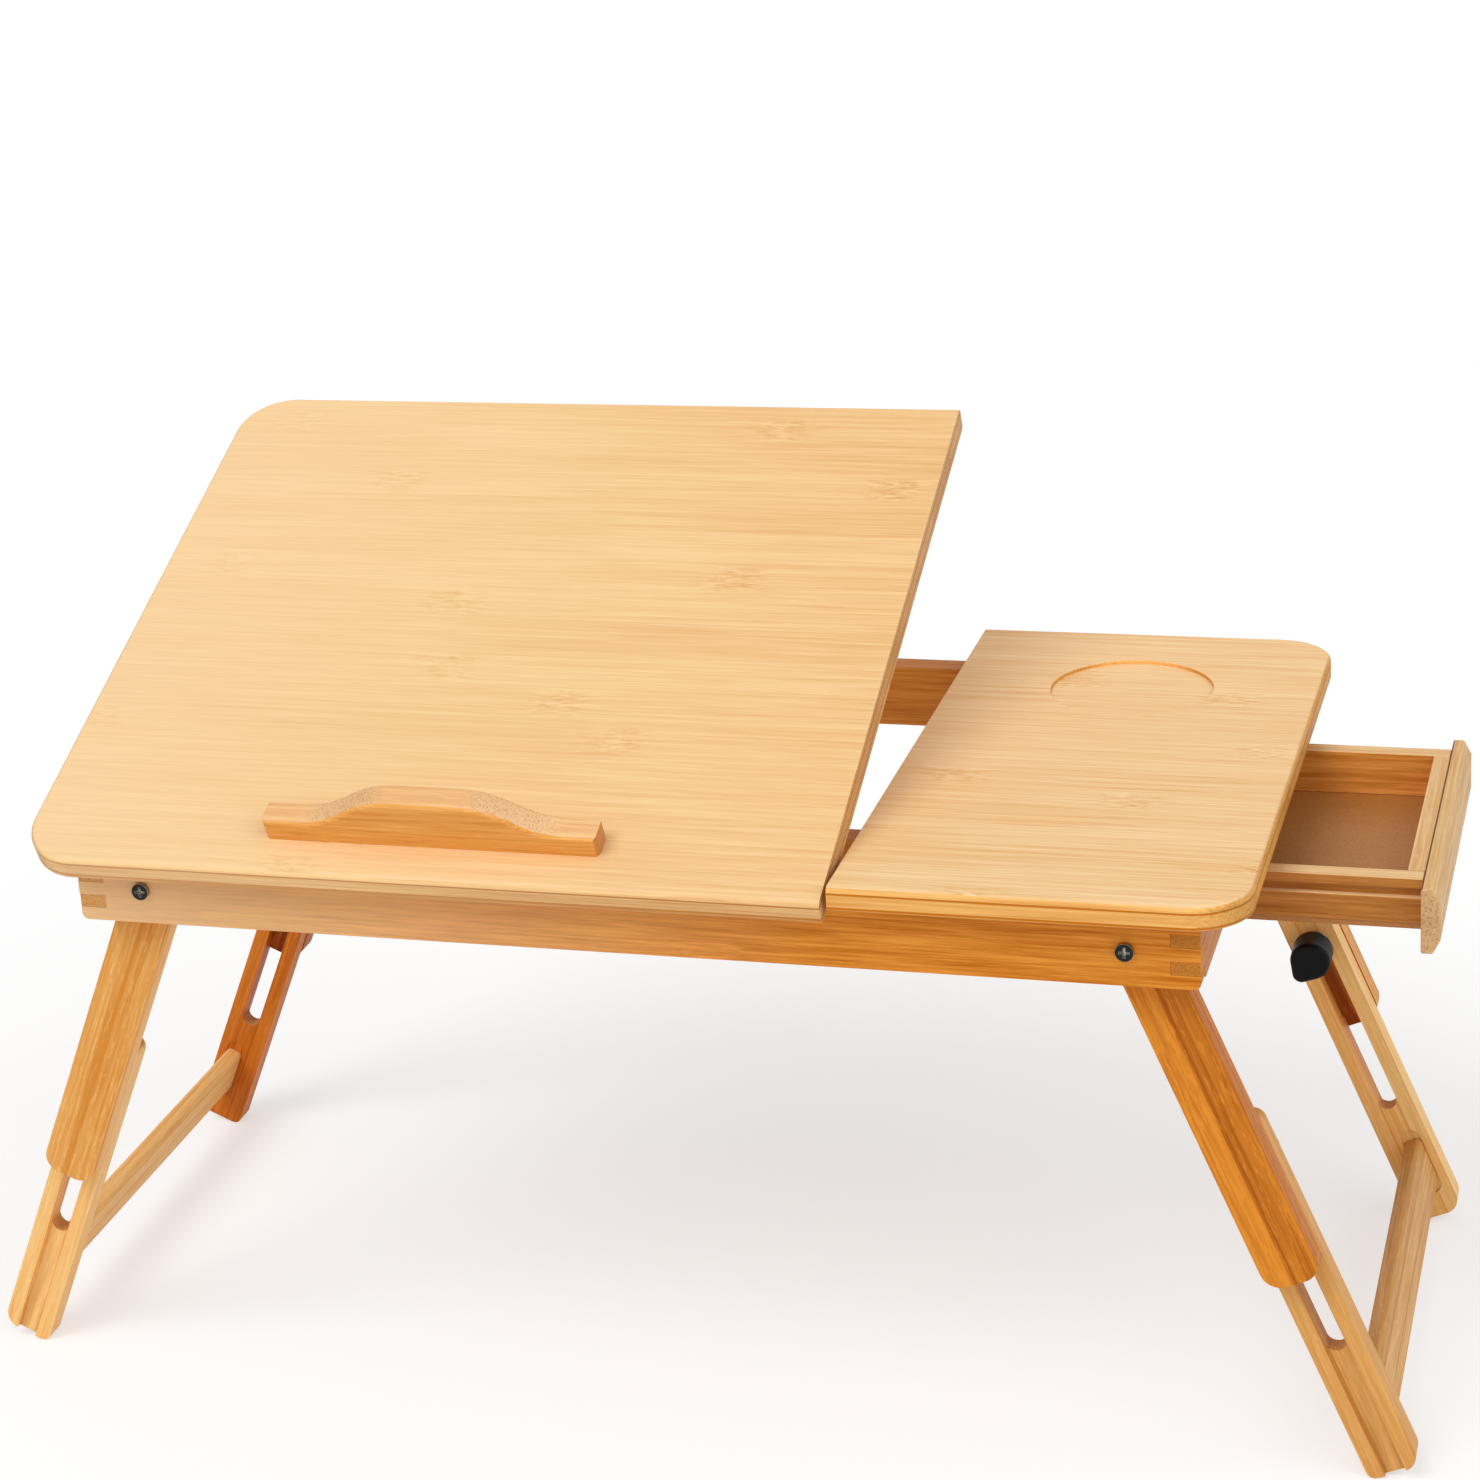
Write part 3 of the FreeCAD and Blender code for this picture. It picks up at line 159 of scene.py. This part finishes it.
def lay_the_floor():
    """A plain white floor that keeps the stand's shadow and isn't there from below."""
    mesh = bpy.data.meshes.new("floor")
    form = bmesh.new()
    bmesh.ops.create_grid(form, x_segments=1, y_segments=1, size=20)
    form.to_mesh(mesh)
    form.free()
    material, output = new_material("white_floor")
    tree = material.node_tree
    seen = seen_directly(tree)
    grey = mixed(tree, seen, [FLOOR_PAINT] * 3 + [1], [FLOOR_PAINT_SEEN] * 3 + [1])
    paint = add(tree, "BsdfDiffuse", {"Color": grey})
    lift = add(tree, "Emission", {"Color": (1, 1, 1, 1),
                                  "Strength": maths(tree, "MULTIPLY", seen, FLOOR_LIFT)})
    both = add(tree, "AddShader", {0: paint.outputs[0], 1: lift.outputs[0]})
    under = add(tree, "MixShader", {0: add(tree, "NewGeometry").outputs["Backfacing"],
                                    1: both.outputs[0],
                                    2: add(tree, "BsdfTransparent").outputs[0]})
    tree.links.new(under.outputs[0], output.inputs["Surface"])
    mesh.materials.append(material)
    floor = bpy.data.objects.new("floor", mesh)
    bpy.context.scene.collection.objects.link(floor)


# ---------------------------------------------------------------- finishes

def colour(code):
    """A six-digit colour code as the linear colour a shader takes."""
    parts = [int(code[at:at + 2], 16) / 255 for at in (0, 2, 4)]
    return [part / 12.92 if part <= 0.04045 else ((part + 0.055) / 1.055) ** 2.4
            for part in parts] + [1.0]


def new_group(name, inputs, outputs):
    """An empty node group with its sockets, and its input and output nodes."""
    tree = bpy.data.node_groups.new(name, "ShaderNodeTree")
    for direction, sockets in (("INPUT", inputs), ("OUTPUT", outputs)):
        for label, kind in sockets.items():
            tree.interface.new_socket(label, in_out=direction, socket_type="NodeSocket" + kind)
    taken = tree.nodes.new("NodeGroupInput").outputs
    given = tree.nodes.new("NodeGroupOutput").inputs
    return tree, taken, given


CANE_JOINTS_APART = 0.23
JOINT_BULGE = 0.006
# the pale colour that the painted glare washes into a board's left end
GLARE_COLOUR = "F8D8A8"


def laminated_bamboo():
    """Strips and plies, fibres, cane joints, and dotted ends wherever the fibres are cut through.

    X runs along the fibres, Y across the strips and Z through the plies, all in metres. A tone of 0
    is the light colour and 1 the deep one, and every cause adds to or takes from the same tone.
    Painted light and shade go in too: a glare that washes the left end paler, shade on the lower
    plies, and a highlight on eased corners.
    """
    tree, taken, given = new_group(
        "laminated_bamboo",
        {"Vector": "Vector", "Light": "Color", "Deep": "Color", "End Light": "Color",
         "End Deep": "Color", "Strip": "Float", "Ply": "Float", "Shift": "Float", "Length": "Float",
         "Marks": "Float", "Bands": "Float", "Streaks": "Float", "Flecks": "Float",
         "Fade": "Float", "Seams": "Float", "Ply Shade": "Float", "Seed": "Float", "Cut": "Float",
         "Eased Edge": "Float"},
        {"Colour": "Color", "Roughness": "Float", "Height": "Float"})

    def noise(x_scale, side_scale, detail, roughness=0.5):
        place = add(tree, "CombineXYZ", {0: maths(tree, "MULTIPLY", along_fibre, x_scale),
                                         1: maths(tree, "MULTIPLY", fibre_y, side_scale),
                                         2: maths(tree, "MULTIPLY", z, side_scale)})
        return maths(tree, "SUBTRACT", add(tree, "TexNoise", {
            "Vector": place.outputs[0], "Scale": 1.0, "Detail": detail,
            "Roughness": roughness}).outputs[0], 0.5)

    x, y, z = add(tree, "SeparateXYZ", {0: taken["Vector"]}).outputs
    across = maths(tree, "DIVIDE", y, taken["Strip"])
    through = maths(tree, "ADD", maths(tree, "DIVIDE", z, taken["Ply"]), taken["Shift"])
    number = maths(tree, "MULTIPLY_ADD", maths(tree, "FLOOR", through), 7.31,
                   maths(tree, "ADD", maths(tree, "FLOOR", across), taken["Seed"]))
    lot = add(tree, "TexWhiteNoise", {"W": number}, noise_dimensions="1D")
    slip, bare, _ = add(tree, "SeparateColor", {0: lot.outputs["Color"]}).outputs
    off_middle = maths(tree, "SUBTRACT", maths(tree, "FRACT", across), 0.5)
    off_ply = maths(tree, "SUBTRACT", maths(tree, "FRACT", through), 0.5)
    # nearness to the cane joints of a strip, which fade out towards its edges
    steps = maths(tree, "MULTIPLY_ADD", x, 1 / CANE_JOINTS_APART, maths(tree, "MULTIPLY", slip, 5.0))
    from_joint = maths(tree, "SUBTRACT", maths(tree, "FRACT", steps), 0.5)
    near = ramped(tree, maths(tree, "ABSOLUTE", from_joint), 0.015, 0.085, 1.0, 0.0)
    inside = ramped(tree, maths(tree, "ABSOLUTE", off_middle), 0.2, 0.48, 1.0, 0.0)
    near = maths(tree, "MULTIPLY", near, inside)
    near = maths(tree, "MULTIPLY", near, maths(tree, "GREATER_THAN", bare, 0.45))
    # fibres bulge round a joint, and each strip takes its own stretch of the noise
    fibre_y = maths(tree, "MULTIPLY_ADD", maths(tree, "MULTIPLY", off_middle, near), JOINT_BULGE, y)
    along_fibre = maths(tree, "MULTIPLY_ADD", number, 0.37, x)
    rate = maths(tree, "DIVIDE", 1.0, taken["Length"])
    fine = noise(rate, 900.0, 3.0, 0.62)
    broad = noise(maths(tree, "MULTIPLY", rate, 0.3), 260.0, 2.0)
    cloud = noise(5.0, 22.0, 1.0)
    dashes = noise(120.0, 520.0, 2.0, 0.7)
    glints = ramped(tree, noise(150.0, 1300.0, 1.0), 0.06, 0.2)
    # the tone: one level for each strip, then fibres, clouds, painted shade on the lower plies,
    # flecks, joints and seams
    tone = maths(tree, "MULTIPLY_ADD", maths(tree, "SUBTRACT", lot.outputs["Value"], 0.5),
                 taken["Bands"], 0.45)
    fibres = maths(tree, "MULTIPLY_ADD", fine, 1.6, maths(tree, "MULTIPLY", broad, 0.6))
    tone = maths(tree, "MULTIPLY_ADD", fibres, taken["Streaks"], tone)
    tone = maths(tree, "MULTIPLY_ADD", cloud, 0.45, tone)
    # painted shade: darker on the lower plies and paler on the top one, as light falls from above
    painted_ply_shade = maths(tree, "SUBTRACT", 1.0, maths(tree, "FLOOR", through))
    tone = maths(tree, "MULTIPLY_ADD", painted_ply_shade, taken["Ply Shade"], tone)
    tone = maths(tree, "MULTIPLY_ADD", maths(tree, "SUBTRACT", 0.2, glints), taken["Flecks"], tone)
    ripple = maths(tree, "MULTIPLY", maths(tree, "MULTIPLY_ADD", dashes, 3.0, 0.12), near)
    tone = maths(tree, "MULTIPLY_ADD", ripple, taken["Marks"], tone)
    strip_seam = ramped(tree, maths(tree, "ABSOLUTE", off_middle), 0.475, 0.5)
    ply_seam = ramped(tree, maths(tree, "ABSOLUTE", off_ply), 0.41, 0.47)
    tone = maths(tree, "MULTIPLY_ADD", strip_seam, 0.16, tone)
    tone = maths(tree, "MULTIPLY_ADD", ply_seam, taken["Seams"], tone)
    # painted light: a board is washed paler towards its left end, a painted glare as if more light
    # fell there
    glare_leftward = ramped(tree, x, -0.25, 0.08, 1.0, 0.0, smooth=False)
    glare_share = maths(tree, "MULTIPLY", glare_leftward, taken["Fade"])
    face = mixed(tree, glare_share, mixed(tree, tone, taken["Light"], taken["Deep"]), colour(GLARE_COLOUR))
    # sawn ends: close-set dark fibre ends in paler pith
    ends = add(tree, "TexVoronoi", {"Vector": taken["Vector"], "Scale": 1000.0}).outputs["Distance"]
    dots = ramped(tree, ends, 0.15, 0.55, 1.0, 0.0)
    end_tone = maths(tree, "MULTIPLY_ADD", dots, 0.5, maths(tree, "MULTIPLY_ADD", cloud, 1.2, 0.2))
    end_tone = maths(tree, "MULTIPLY_ADD", ply_seam, taken["Seams"], end_tone)
    end = mixed(tree, end_tone, taken["End Light"], taken["End Deep"])
    either = mixed(tree, taken["Cut"], face, end)
    # eased corners are painted a little paler, a painted highlight along their rounded edges, and are
    # made smoother (less rough), unevenly
    highlight_and_gloss = maths(tree, "MULTIPLY", taken["Eased Edge"], ramped(tree, cloud, -0.2, 0.2, 0.3, 1.0))
    highlighted = mixed(tree, maths(tree, "MULTIPLY", highlight_and_gloss, 0.35), either, taken["Light"])
    tree.links.new(highlighted, given["Colour"])
    sheen = ramped(tree, fine, -0.25, 0.25, 0.36, 0.54)
    dull = maths(tree, "MULTIPLY_ADD", taken["Cut"], 0.12, sheen)
    tree.links.new(maths(tree, "MULTIPLY_ADD", highlight_and_gloss, -0.08, dull), given["Roughness"])
    seams = maths(tree, "MULTIPLY_ADD", ply_seam, maths(tree, "MULTIPLY", taken["Seams"], -1.0),
                  maths(tree, "MULTIPLY", strip_seam, -0.4))
    height = maths(tree, "ADD", fine, seams)
    pits = maths(tree, "MULTIPLY", dots, taken["Cut"])
    tree.links.new(maths(tree, "MULTIPLY_ADD", pits, -0.6, height), given["Height"])
    return tree


BAMBOO = laminated_bamboo()

# Where the boards turn, in metres, and how far the panel and the prop lean, in degrees.
APRON_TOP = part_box("front_apron")[1].z
HINGE_PLACE = (0, -0.1375, 0.248324)
PROP_PLACE = (0, -0.0525, 0.242324)
PIVOT_X, PIVOT_Z = 0.2025, 0.234624
TILT, PROP_LEAN = 23.2, 46.045
# How a board lies: where its middle line starts, and the turns that carry X to its grain.
LAYS = {
    "along": ((0, 0, APRON_TOP), (0, 0, 0)),
    "across": ((0, 0, APRON_TOP), (0, 0, 90)),
    "tilted": (HINGE_PLACE, (TILT, 0, 0)),
    "left_leg": ((-PIVOT_X, 0, PIVOT_Z), (0, 113, 0)),
    "right_leg": ((PIVOT_X, 0, PIVOT_Z), (0, 67, 0)),
    "leaning": (PROP_PLACE, (0, -PROP_LEAN, 90)),
    "prop_bar": (PROP_PLACE, (PROP_LEAN, 0, 0)),
}
# Bamboo as most boards have it. strip, ply and length (of the fibres) are in millimetres. shift moves
# the plies by a share of one. marks, bands, streaks, flecks and seams say how strongly cane joints,
# strips, fibres, glints and glue lines show. painted_glare is painted light that washes the left end
# paler, and layers is painted shade that deepens the lower plies and pales the top one. cut is how
# squarely a face crosses the fibres when its sawn look begins and when it is full.
# Colours come in pairs, light and deep.
USUAL = {"strip": 20.0, "ply": 14.0, "shift": 0.5, "length": 40.0, "marks": 0.3, "bands": 0.3,
         "streaks": 1.0, "flecks": 0.12, "painted_glare": 0.0, "seams": 0.12, "layers": 0.0,
         "cut": (0.3, 0.8)}
# panels and their edges take painted shade under layers: darker lower plies and a paler top ply
PANEL = {"ply": 5.75, "length": 60.0, "marks": 0.9, "bands": 0.12, "flecks": 0.06,
         "seams": 0.9, "layers": 0.16}
PANEL_EDGE = {**PANEL, "marks": 0.0, "seams": 1.4, "layers": 0.3}
UPPER_LEG = {"ply": 14.0, "shift": 0.0, "length": 60.0, "bands": 0.75, "flecks": 0.35, "seams": 0.5,
             "ends": ("BC7436", "8A4C1C")}
LOWER_LEG = {"ply": 8.0, "bands": 0.6, "flecks": 0.2, "seams": 0.5, "ends": ("DDA464", "A96F3A")}
SHADES = {
    "honey": {**PANEL, "face": ("F5CE96", "DEA25C"), "ends": ("DDB07A", "BE8A55"), "painted_glare": 0.6},
    "amber": {**PANEL, "face": ("FDD8A2", "E4A65E"), "ends": ("DDAE78", "B98450")},
    "honey_edge": {**PANEL_EDGE, "face": ("FFD294", "C87E30"), "ends": ("DDAE78", "B07A40"),
                   "painted_glare": 0.3},
    "amber_edge": {**PANEL_EDGE, "face": ("FFC674", "C87414"), "ends": ("E8AC5C", "B27428")},
    "apron": {"face": ("F4A03C", "C06800"), "ends": ("DC943C", "A8621A"), "painted_glare": 0.7,
              "bands": 0.15, "streaks": 1.4},
    "side": {"face": ("E49A40", "AE5E10"), "ends": ("D48A34", "A8661A"), "bands": 0.2},
    "left_side": {"face": ("ECA650", "B86C1C"), "ends": ("E6AA66", "BE8242"), "bands": 0.2},
    "inner": {"face": ("E0A050", "B46C22"), "ends": ("CE9150", "9A6230")},
    "dark_leg": {**UPPER_LEG, "face": ("E8922E", "AC5806"), "bands": 0.5},
    "amber_leg": {**UPPER_LEG, "face": ("F9C174", "D98C34"), "ends": ("DFA668", "AC7440")},
    "red_leg": {**UPPER_LEG, "face": ("CC7420", "984808")},
    "tan_leg": {**LOWER_LEG, "face": ("FFD48E", "ECA24A")},
    "brown_leg": {**LOWER_LEG, "face": ("E8AE64", "C07A30")},
    "russet_leg": {**LOWER_LEG, "face": ("F09638", "C06010")},
    "crossbar": {**LOWER_LEG, "face": ("E8B472", "C48842")},
    "ledge": {"face": ("FFC06A", "D47C24"), "ends": ("D99A5C", "AE6A34"), "ply": 80.0},
    "ledge_top": {"face": ("F8CC94", "DE9C5A"), "ends": ("F8D0A0", "CC9058"), "ply": 80.0,
                  "cut": (0.02, 0.3)},
    "drawer": {"face": ("CA8840", "905014"), "ends": ("B98450", "8A5628"), "ply": 15.0,
               "shift": 0.1},
    # painted light: a lighter copy of the drawer shade, for walls whose inner faces lie in the
    # drawer's shade
    "drawer_lit_copy": {"face": ("FAB05A", "C4741C"), "ends": ("B98450", "8A5628"),
                      "streaks": 1.5},
    "drawer_rim": {"face": ("F6D5A0", "D9A566"), "ends": ("E9C48E", "BE915E"), "strip": 7.0},
    "face_tan": {"face": ("EAC284", "C08848"), "ends": ("E0B884", "A07444"), "strip": 9.0,
                 "ply": 40.0},
}


def bamboo(shade, lay):
    """The lacquered finish of one shade on boards that lie one way."""
    name = shade + "_bamboo_" + lay
    if name in bpy.data.materials:
        return bpy.data.materials[name]
    looks = {**USUAL, **SHADES[shade]}
    place, turns = LAYS[lay]
    turn = Euler(radians(turns))
    material, output = new_material(name)
    tree = material.node_tree
    spot = add(tree, "TexCoord").outputs
    in_wood = add(tree, "Mapping", {"Vector": spot["Object"], "Location": place, "Rotation": turn},
                  vector_type="TEXTURE")
    facing = add(tree, "VectorMath", {0: spot["Normal"], 1: turn.to_matrix() @ Vector((1, 0, 0))},
                 operation="DOT_PRODUCT")
    cut = ramped(tree, maths(tree, "ABSOLUTE", facing.outputs["Value"]), *looks["cut"])
    eased_edge = add(tree, "Attribute", attribute_name="eased_edge").outputs["Fac"]
    grain = tree.nodes.new("ShaderNodeGroup")
    grain.node_tree = BAMBOO
    settings = {"Light": colour(looks["face"][0]), "Deep": colour(looks["face"][1]),
                "End Light": colour(looks["ends"][0]), "End Deep": colour(looks["ends"][1]),
                "Strip": looks["strip"] * MM, "Ply": looks["ply"] * MM, "Shift": looks["shift"],
                "Length": looks["length"] * MM, "Marks": looks["marks"], "Bands": looks["bands"],
                "Streaks": looks["streaks"], "Flecks": looks["flecks"], "Fade": looks["painted_glare"],
                "Seams": looks["seams"], "Ply Shade": looks["layers"],
                "Seed": 3.7 * list(SHADES).index(shade) + list(LAYS).index(lay)}
    for key, value in settings.items():
        grain.inputs[key].default_value = value
    for key, source in (("Vector", in_wood.outputs[0]), ("Cut", cut), ("Eased Edge", eased_edge)):
        tree.links.new(source, grain.inputs[key])
    bump = add(tree, "Bump", {"Height": grain.outputs["Height"], "Strength": 0.3,
                              "Distance": 0.12 * MM})
    surface = add(tree, "BsdfPrincipled", {"Base Color": grain.outputs["Colour"],
                                           "Roughness": grain.outputs["Roughness"],
                                           "Normal": bump.outputs[0], "Coat Weight": 0.03,
                                           "Coat Roughness": 0.3, "Specular IOR Level": 0.12})
    tree.links.new(surface.outputs[0], output.inputs["Surface"])
    return material


def fibreboard():
    """Thin brown fibreboard: a fine felt of darker and lighter fibres."""
    material, output = new_material("brown_fibreboard")
    tree = material.node_tree
    place = add(tree, "TexCoord").outputs["Object"]
    felt = add(tree, "TexNoise", {"Vector": place, "Scale": 1400.0, "Detail": 4.0}).outputs[0]
    cloud = add(tree, "TexNoise", {"Vector": place, "Scale": 30.0, "Detail": 2.0}).outputs[0]
    depth = maths(tree, "MULTIPLY_ADD", felt, 0.7, maths(tree, "MULTIPLY", cloud, 0.35), clamp=True)
    surface = add(tree, "BsdfPrincipled", {
        "Base Color": mixed(tree, depth, colour("C88844"), colour("8F5820")),
        "Roughness": ramped(tree, felt, 0.3, 0.7, 0.45, 0.62),
        "Normal": add(tree, "Bump", {"Height": felt, "Strength": 0.2,
                                     "Distance": 0.1 * MM}).outputs[0]})
    tree.links.new(surface.outputs[0], output.inputs["Surface"])
    return material


def dark_joint():
    """The brown line that polish and dust leave in a joint."""
    material, output = new_material("dark_joint_line")
    tree = material.node_tree
    haze = add(tree, "TexNoise", {"Vector": add(tree, "TexCoord").outputs["Object"], "Scale": 300.0,
                                  "Detail": 2.0}).outputs[0]
    surface = add(tree, "BsdfPrincipled", {"Base Color": mixed(tree, haze, colour("4A2A12"),
                                                               colour("7A4A22")),
                                           "Roughness": ramped(tree, haze, 0.3, 0.7, 0.6, 0.8)})
    tree.links.new(surface.outputs[0], output.inputs["Surface"])
    return material


def plated_steel(name, pale, dull, smooth_at, rough_at):
    """Plated steel with faint handling marks in its shine."""
    material, output = new_material(name)
    tree = material.node_tree
    place = add(tree, "TexCoord").outputs["Object"]
    haze = add(tree, "TexNoise", {"Vector": place, "Scale": 240.0, "Detail": 3.0}).outputs[0]
    scuffs = add(tree, "TexNoise", {"Vector": place, "Scale": 2600.0, "Detail": 2.0}).outputs[0]
    surface = add(tree, "BsdfPrincipled", {
        "Base Color": mixed(tree, haze, colour(pale), colour(dull)),
        "Metallic": 1.0,
        "Roughness": ramped(tree, haze, 0.3, 0.7, smooth_at, rough_at),
        "Normal": add(tree, "Bump", {"Height": scuffs, "Strength": 0.12,
                                     "Distance": 0.02 * MM}).outputs[0]})
    tree.links.new(surface.outputs[0], output.inputs["Surface"])
    return material


def black_plastic():
    """Moulded black plastic with a fine spark-eroded grain."""
    material, output = new_material("black_moulded_plastic")
    tree = material.node_tree
    place = add(tree, "TexCoord").outputs["Object"]
    grain = add(tree, "TexNoise", {"Vector": place, "Scale": 1800.0, "Detail": 2.0}).outputs[0]
    haze = add(tree, "TexNoise", {"Vector": place, "Scale": 90.0, "Detail": 2.0}).outputs[0]
    surface = add(tree, "BsdfPrincipled", {
        "Base Color": mixed(tree, haze, colour("040404"), colour("0A0A0B")),
        "Roughness": ramped(tree, haze, 0.3, 0.7, 0.4, 0.52), "Specular IOR Level": 0.14,
        "Normal": add(tree, "Bump", {"Height": grain, "Strength": 0.25,
                                     "Distance": 0.05 * MM}).outputs[0]})
    tree.links.new(surface.outputs[0], output.inputs["Surface"])
    return material


# ---------------------------------------------------------------- pieces from the frame's solids

NODE_BODY = {node: body for body, nodes in frame["record"]["behaviour"]["bodies"].items()
             for node in nodes}


def eased_copy(node, name, ease, limit=38, shortest=0.0):
    """A copy of a solid with its outer corners eased, standing for the plain one.

    Edges below the shortest length stay sharp, so the rims of small holes don't hold the rest back.
    """
    form = bmesh.new()
    form.from_mesh(frame["nodes"][node].data)
    bmesh.ops.remove_doubles(form, verts=form.verts, dist=0.002 * MM)
    bmesh.ops.dissolve_limit(form, angle_limit=math.radians(0.5), verts=form.verts, edges=form.edges)
    corners = [edge for edge in form.edges if len(edge.link_faces) == 2 and edge.is_convex
               and edge.calc_face_angle() > math.radians(limit)
               and edge.calc_length() > shortest * MM]
    # the eased faces are marked so that the finish paints a highlight on them
    eased_edge = form.faces.layers.float.new("eased_edge")
    eased = bmesh.ops.bevel(form, geom=corners, offset=ease * MM, offset_type="OFFSET", segments=2,
                            profile=0.5, affect="EDGES", clamp_overlap=True, material=-1)
    for face in eased["faces"]:
        face[eased_edge] = 1.0
    mesh = bpy.data.meshes.new(name)
    form.to_mesh(mesh)
    form.free()
    mesh.materials.clear()
    mesh.shade_smooth()
    mesh.set_sharp_from_angle(angle=math.radians(50))
    piece = bpy.data.objects.new(name, mesh)
    bpy.context.scene.collection.objects.link(piece)
    even = piece.modifiers.new("even_shading", "WEIGHTED_NORMAL")
    even.keep_sharp = True
    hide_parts(node)
    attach(piece, NODE_BODY[node])
    return piece


def board(node, shade, lay, ease=0.4, rim=None, shortest=0.0):
    """One bamboo board, with a shade of its own on its upper side if asked."""
    piece = eased_copy(node, node + "_board", ease, shortest=shortest)
    piece.data.materials.append(bamboo(shade, lay))
    if rim:
        up = Euler(radians(LAYS[lay][1])).to_matrix() @ Vector((0, 0, 1))
        finish_side(piece, rim, lay, up)
    return piece


def finish_side(piece, shade, lay, outward):
    """Give the faces that look one way a shade of their own."""
    piece.data.materials.append(bamboo(shade, lay))
    for face in piece.data.polygons:
        if face.normal.dot(outward) > 0.75:
            face.material_index = len(piece.data.materials) - 1


def fitting(node, material, ease=0.15):
    """One metal or plastic fitting with its corners eased."""
    piece = eased_copy(node, node + "_fitting", ease, limit=30)
    piece.data.materials.append(material)
    return piece


def tray_boards():
    """The two panels, the frame under them, the drawer's guides and the stop ledge."""
    board("fixed_panel", "amber_edge", "along", rim="amber")
    board("tilting_panel", "honey_edge", "tilted", rim="honey")
    board("front_apron", "apron", "along")
    board("back_apron", "side", "along")
    board("left_apron", "left_side", "across")
    for node in ("right_front_stub", "right_back_stub"):
        board(node, "side", "across")
    for node in ("drawer_guide_front", "drawer_guide_back", "drawer_runner_front",
                 "drawer_runner_back"):
        board(node, "inner", "along")
    board("bay_divider", "inner", "across")
    board("stop_ledge", "ledge", "tilted", rim="ledge_top")


def prop_boards():
    """The wooden pieces of the prop that holds the tilting panel up."""
    board("prop_stretcher", "inner", "along")
    board("prop_blocks", "inner", "across")
    for node in ("prop_left_arm", "prop_right_arm"):
        board(node, "inner", "leaning")
    board("prop_crossbar", "inner", "prop_bar")


def drawer_boards():
    """The drawer's walls and face, with the joint between them, and its floor."""
    board("drawer_side_front", "drawer", "along", rim="drawer_rim")
    # painted light: the back wall and the outer end take the lighter copy of the drawer shade
    board("drawer_side_back", "drawer_lit_copy", "along", rim="drawer_rim")
    board("drawer_inner_end", "drawer", "across", rim="drawer_rim")
    board("drawer_outer_end", "drawer_lit_copy", "across", rim="drawer_rim")
    front = board("drawer_face", "face_tan", "across", ease=0.7, shortest=1.5)
    shade_joint(front, Vector((-1, 0, 1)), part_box("drawer_face")[0].x)
    floor_piece = eased_copy("drawer_floor_board", "drawer_floor_sheet", 0.1)
    floor_piece.data.materials.append(fibreboard())


def shade_joint(piece, outward, at_x):
    """Darken the eased corner where a board meets the next one, as glue and polish leave it."""
    piece.data.materials.append(dark_joint())
    for face in piece.data.polygons:
        if abs(face.center.x - at_x) < 1.0 * MM and face.normal.dot(outward.normalized()) > 0.8:
            face.material_index = len(piece.data.materials) - 1


def leg_boards():
    """Four upper and four lower legs, each from its own batch, and two crossbars, with painted shade
    on the inner face of the back right upper leg.
    """
    board("front_left_upper_leg", "amber_leg", "left_leg")
    board("back_left_upper_leg", "red_leg", "left_leg")
    board("front_right_upper_leg", "dark_leg", "right_leg")
    back_right = board("back_right_upper_leg", "amber_leg", "right_leg")
    # painted shade: the inner face of the back right upper leg, which lies in shade in the slot
    # beside the front leg, takes the darker red leg shade
    finish_side(back_right, "red_leg", "right_leg", Vector((0, -1, 0)))
    board("front_left_lower_leg", "tan_leg", "left_leg")
    board("back_left_lower_leg", "russet_leg", "left_leg")
    board("front_right_lower_leg", "brown_leg", "right_leg")
    board("back_right_lower_leg", "tan_leg", "right_leg")
    board("left_crossbar", "tan_leg", "across")
    board("right_crossbar", "crossbar", "across")


def paint_head_reflections(piece, shade, head_y):
    """Paint a dark reflection onto the flat of each pivot screw's head, between its bright rim and
    cross recess.
    """
    piece.data.materials.append(shade)
    for face in piece.data.polygons:
        depth = head_y - abs(face.center.y)
        face.material_index = int(depth < 0.1 * MM and abs(face.normal.y) > 0.95)


def hardware():
    """Screws, hinges, rails, studs, nuts and washers, and the four knobs."""
    bright = plated_steel("bright_nickel", "B8B4AA", "7C786E", 0.16, 0.32)
    zinc = plated_steel("zinc_plate", "C9C8C4", "9C9B98", 0.25, 0.42)
    # painted reflection: a dark nickel for the flats of the pivot screw heads
    dark_reflection = plated_steel("dark_reflection_nickel", "3C3A36", "1E1D1B", 0.35, 0.55)
    plastic = black_plastic()
    pivots = fitting("leg_pivot_screws", bright, ease=0.4)
    paint_head_reflections(pivots, dark_reflection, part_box("leg_pivot_screws")[1].y)
    for node in ("hinge_frame_screws", "hinge_panel_screws", "ledge_screws",
                 "drawer_face_screws", "prop_pivot_screws"):
        fitting(node, bright)
    for node in ("hinge_frame_leaves", "hinge_panel_leaves", "hinge_pins", "tilt_rails",
                 "tilt_rail_screws", "prop_rod", "prop_rod_nuts", "leg_pivot_washers",
                 "leg_pivot_nuts", "left_clamp_studs", "right_clamp_studs",
                 "left_clamp_washers", "right_clamp_washers"):
        fitting(node, zinc)
    for end in ("front", "back"):
        for side in ("left", "right"):
            fitting(end + "_" + side + "_clamp_knob", plastic, ease=0.3)


place_camera()
light_the_room()
lay_the_floor()
tray_boards()
prop_boards()
drawer_boards()
leg_boards()
hardware()
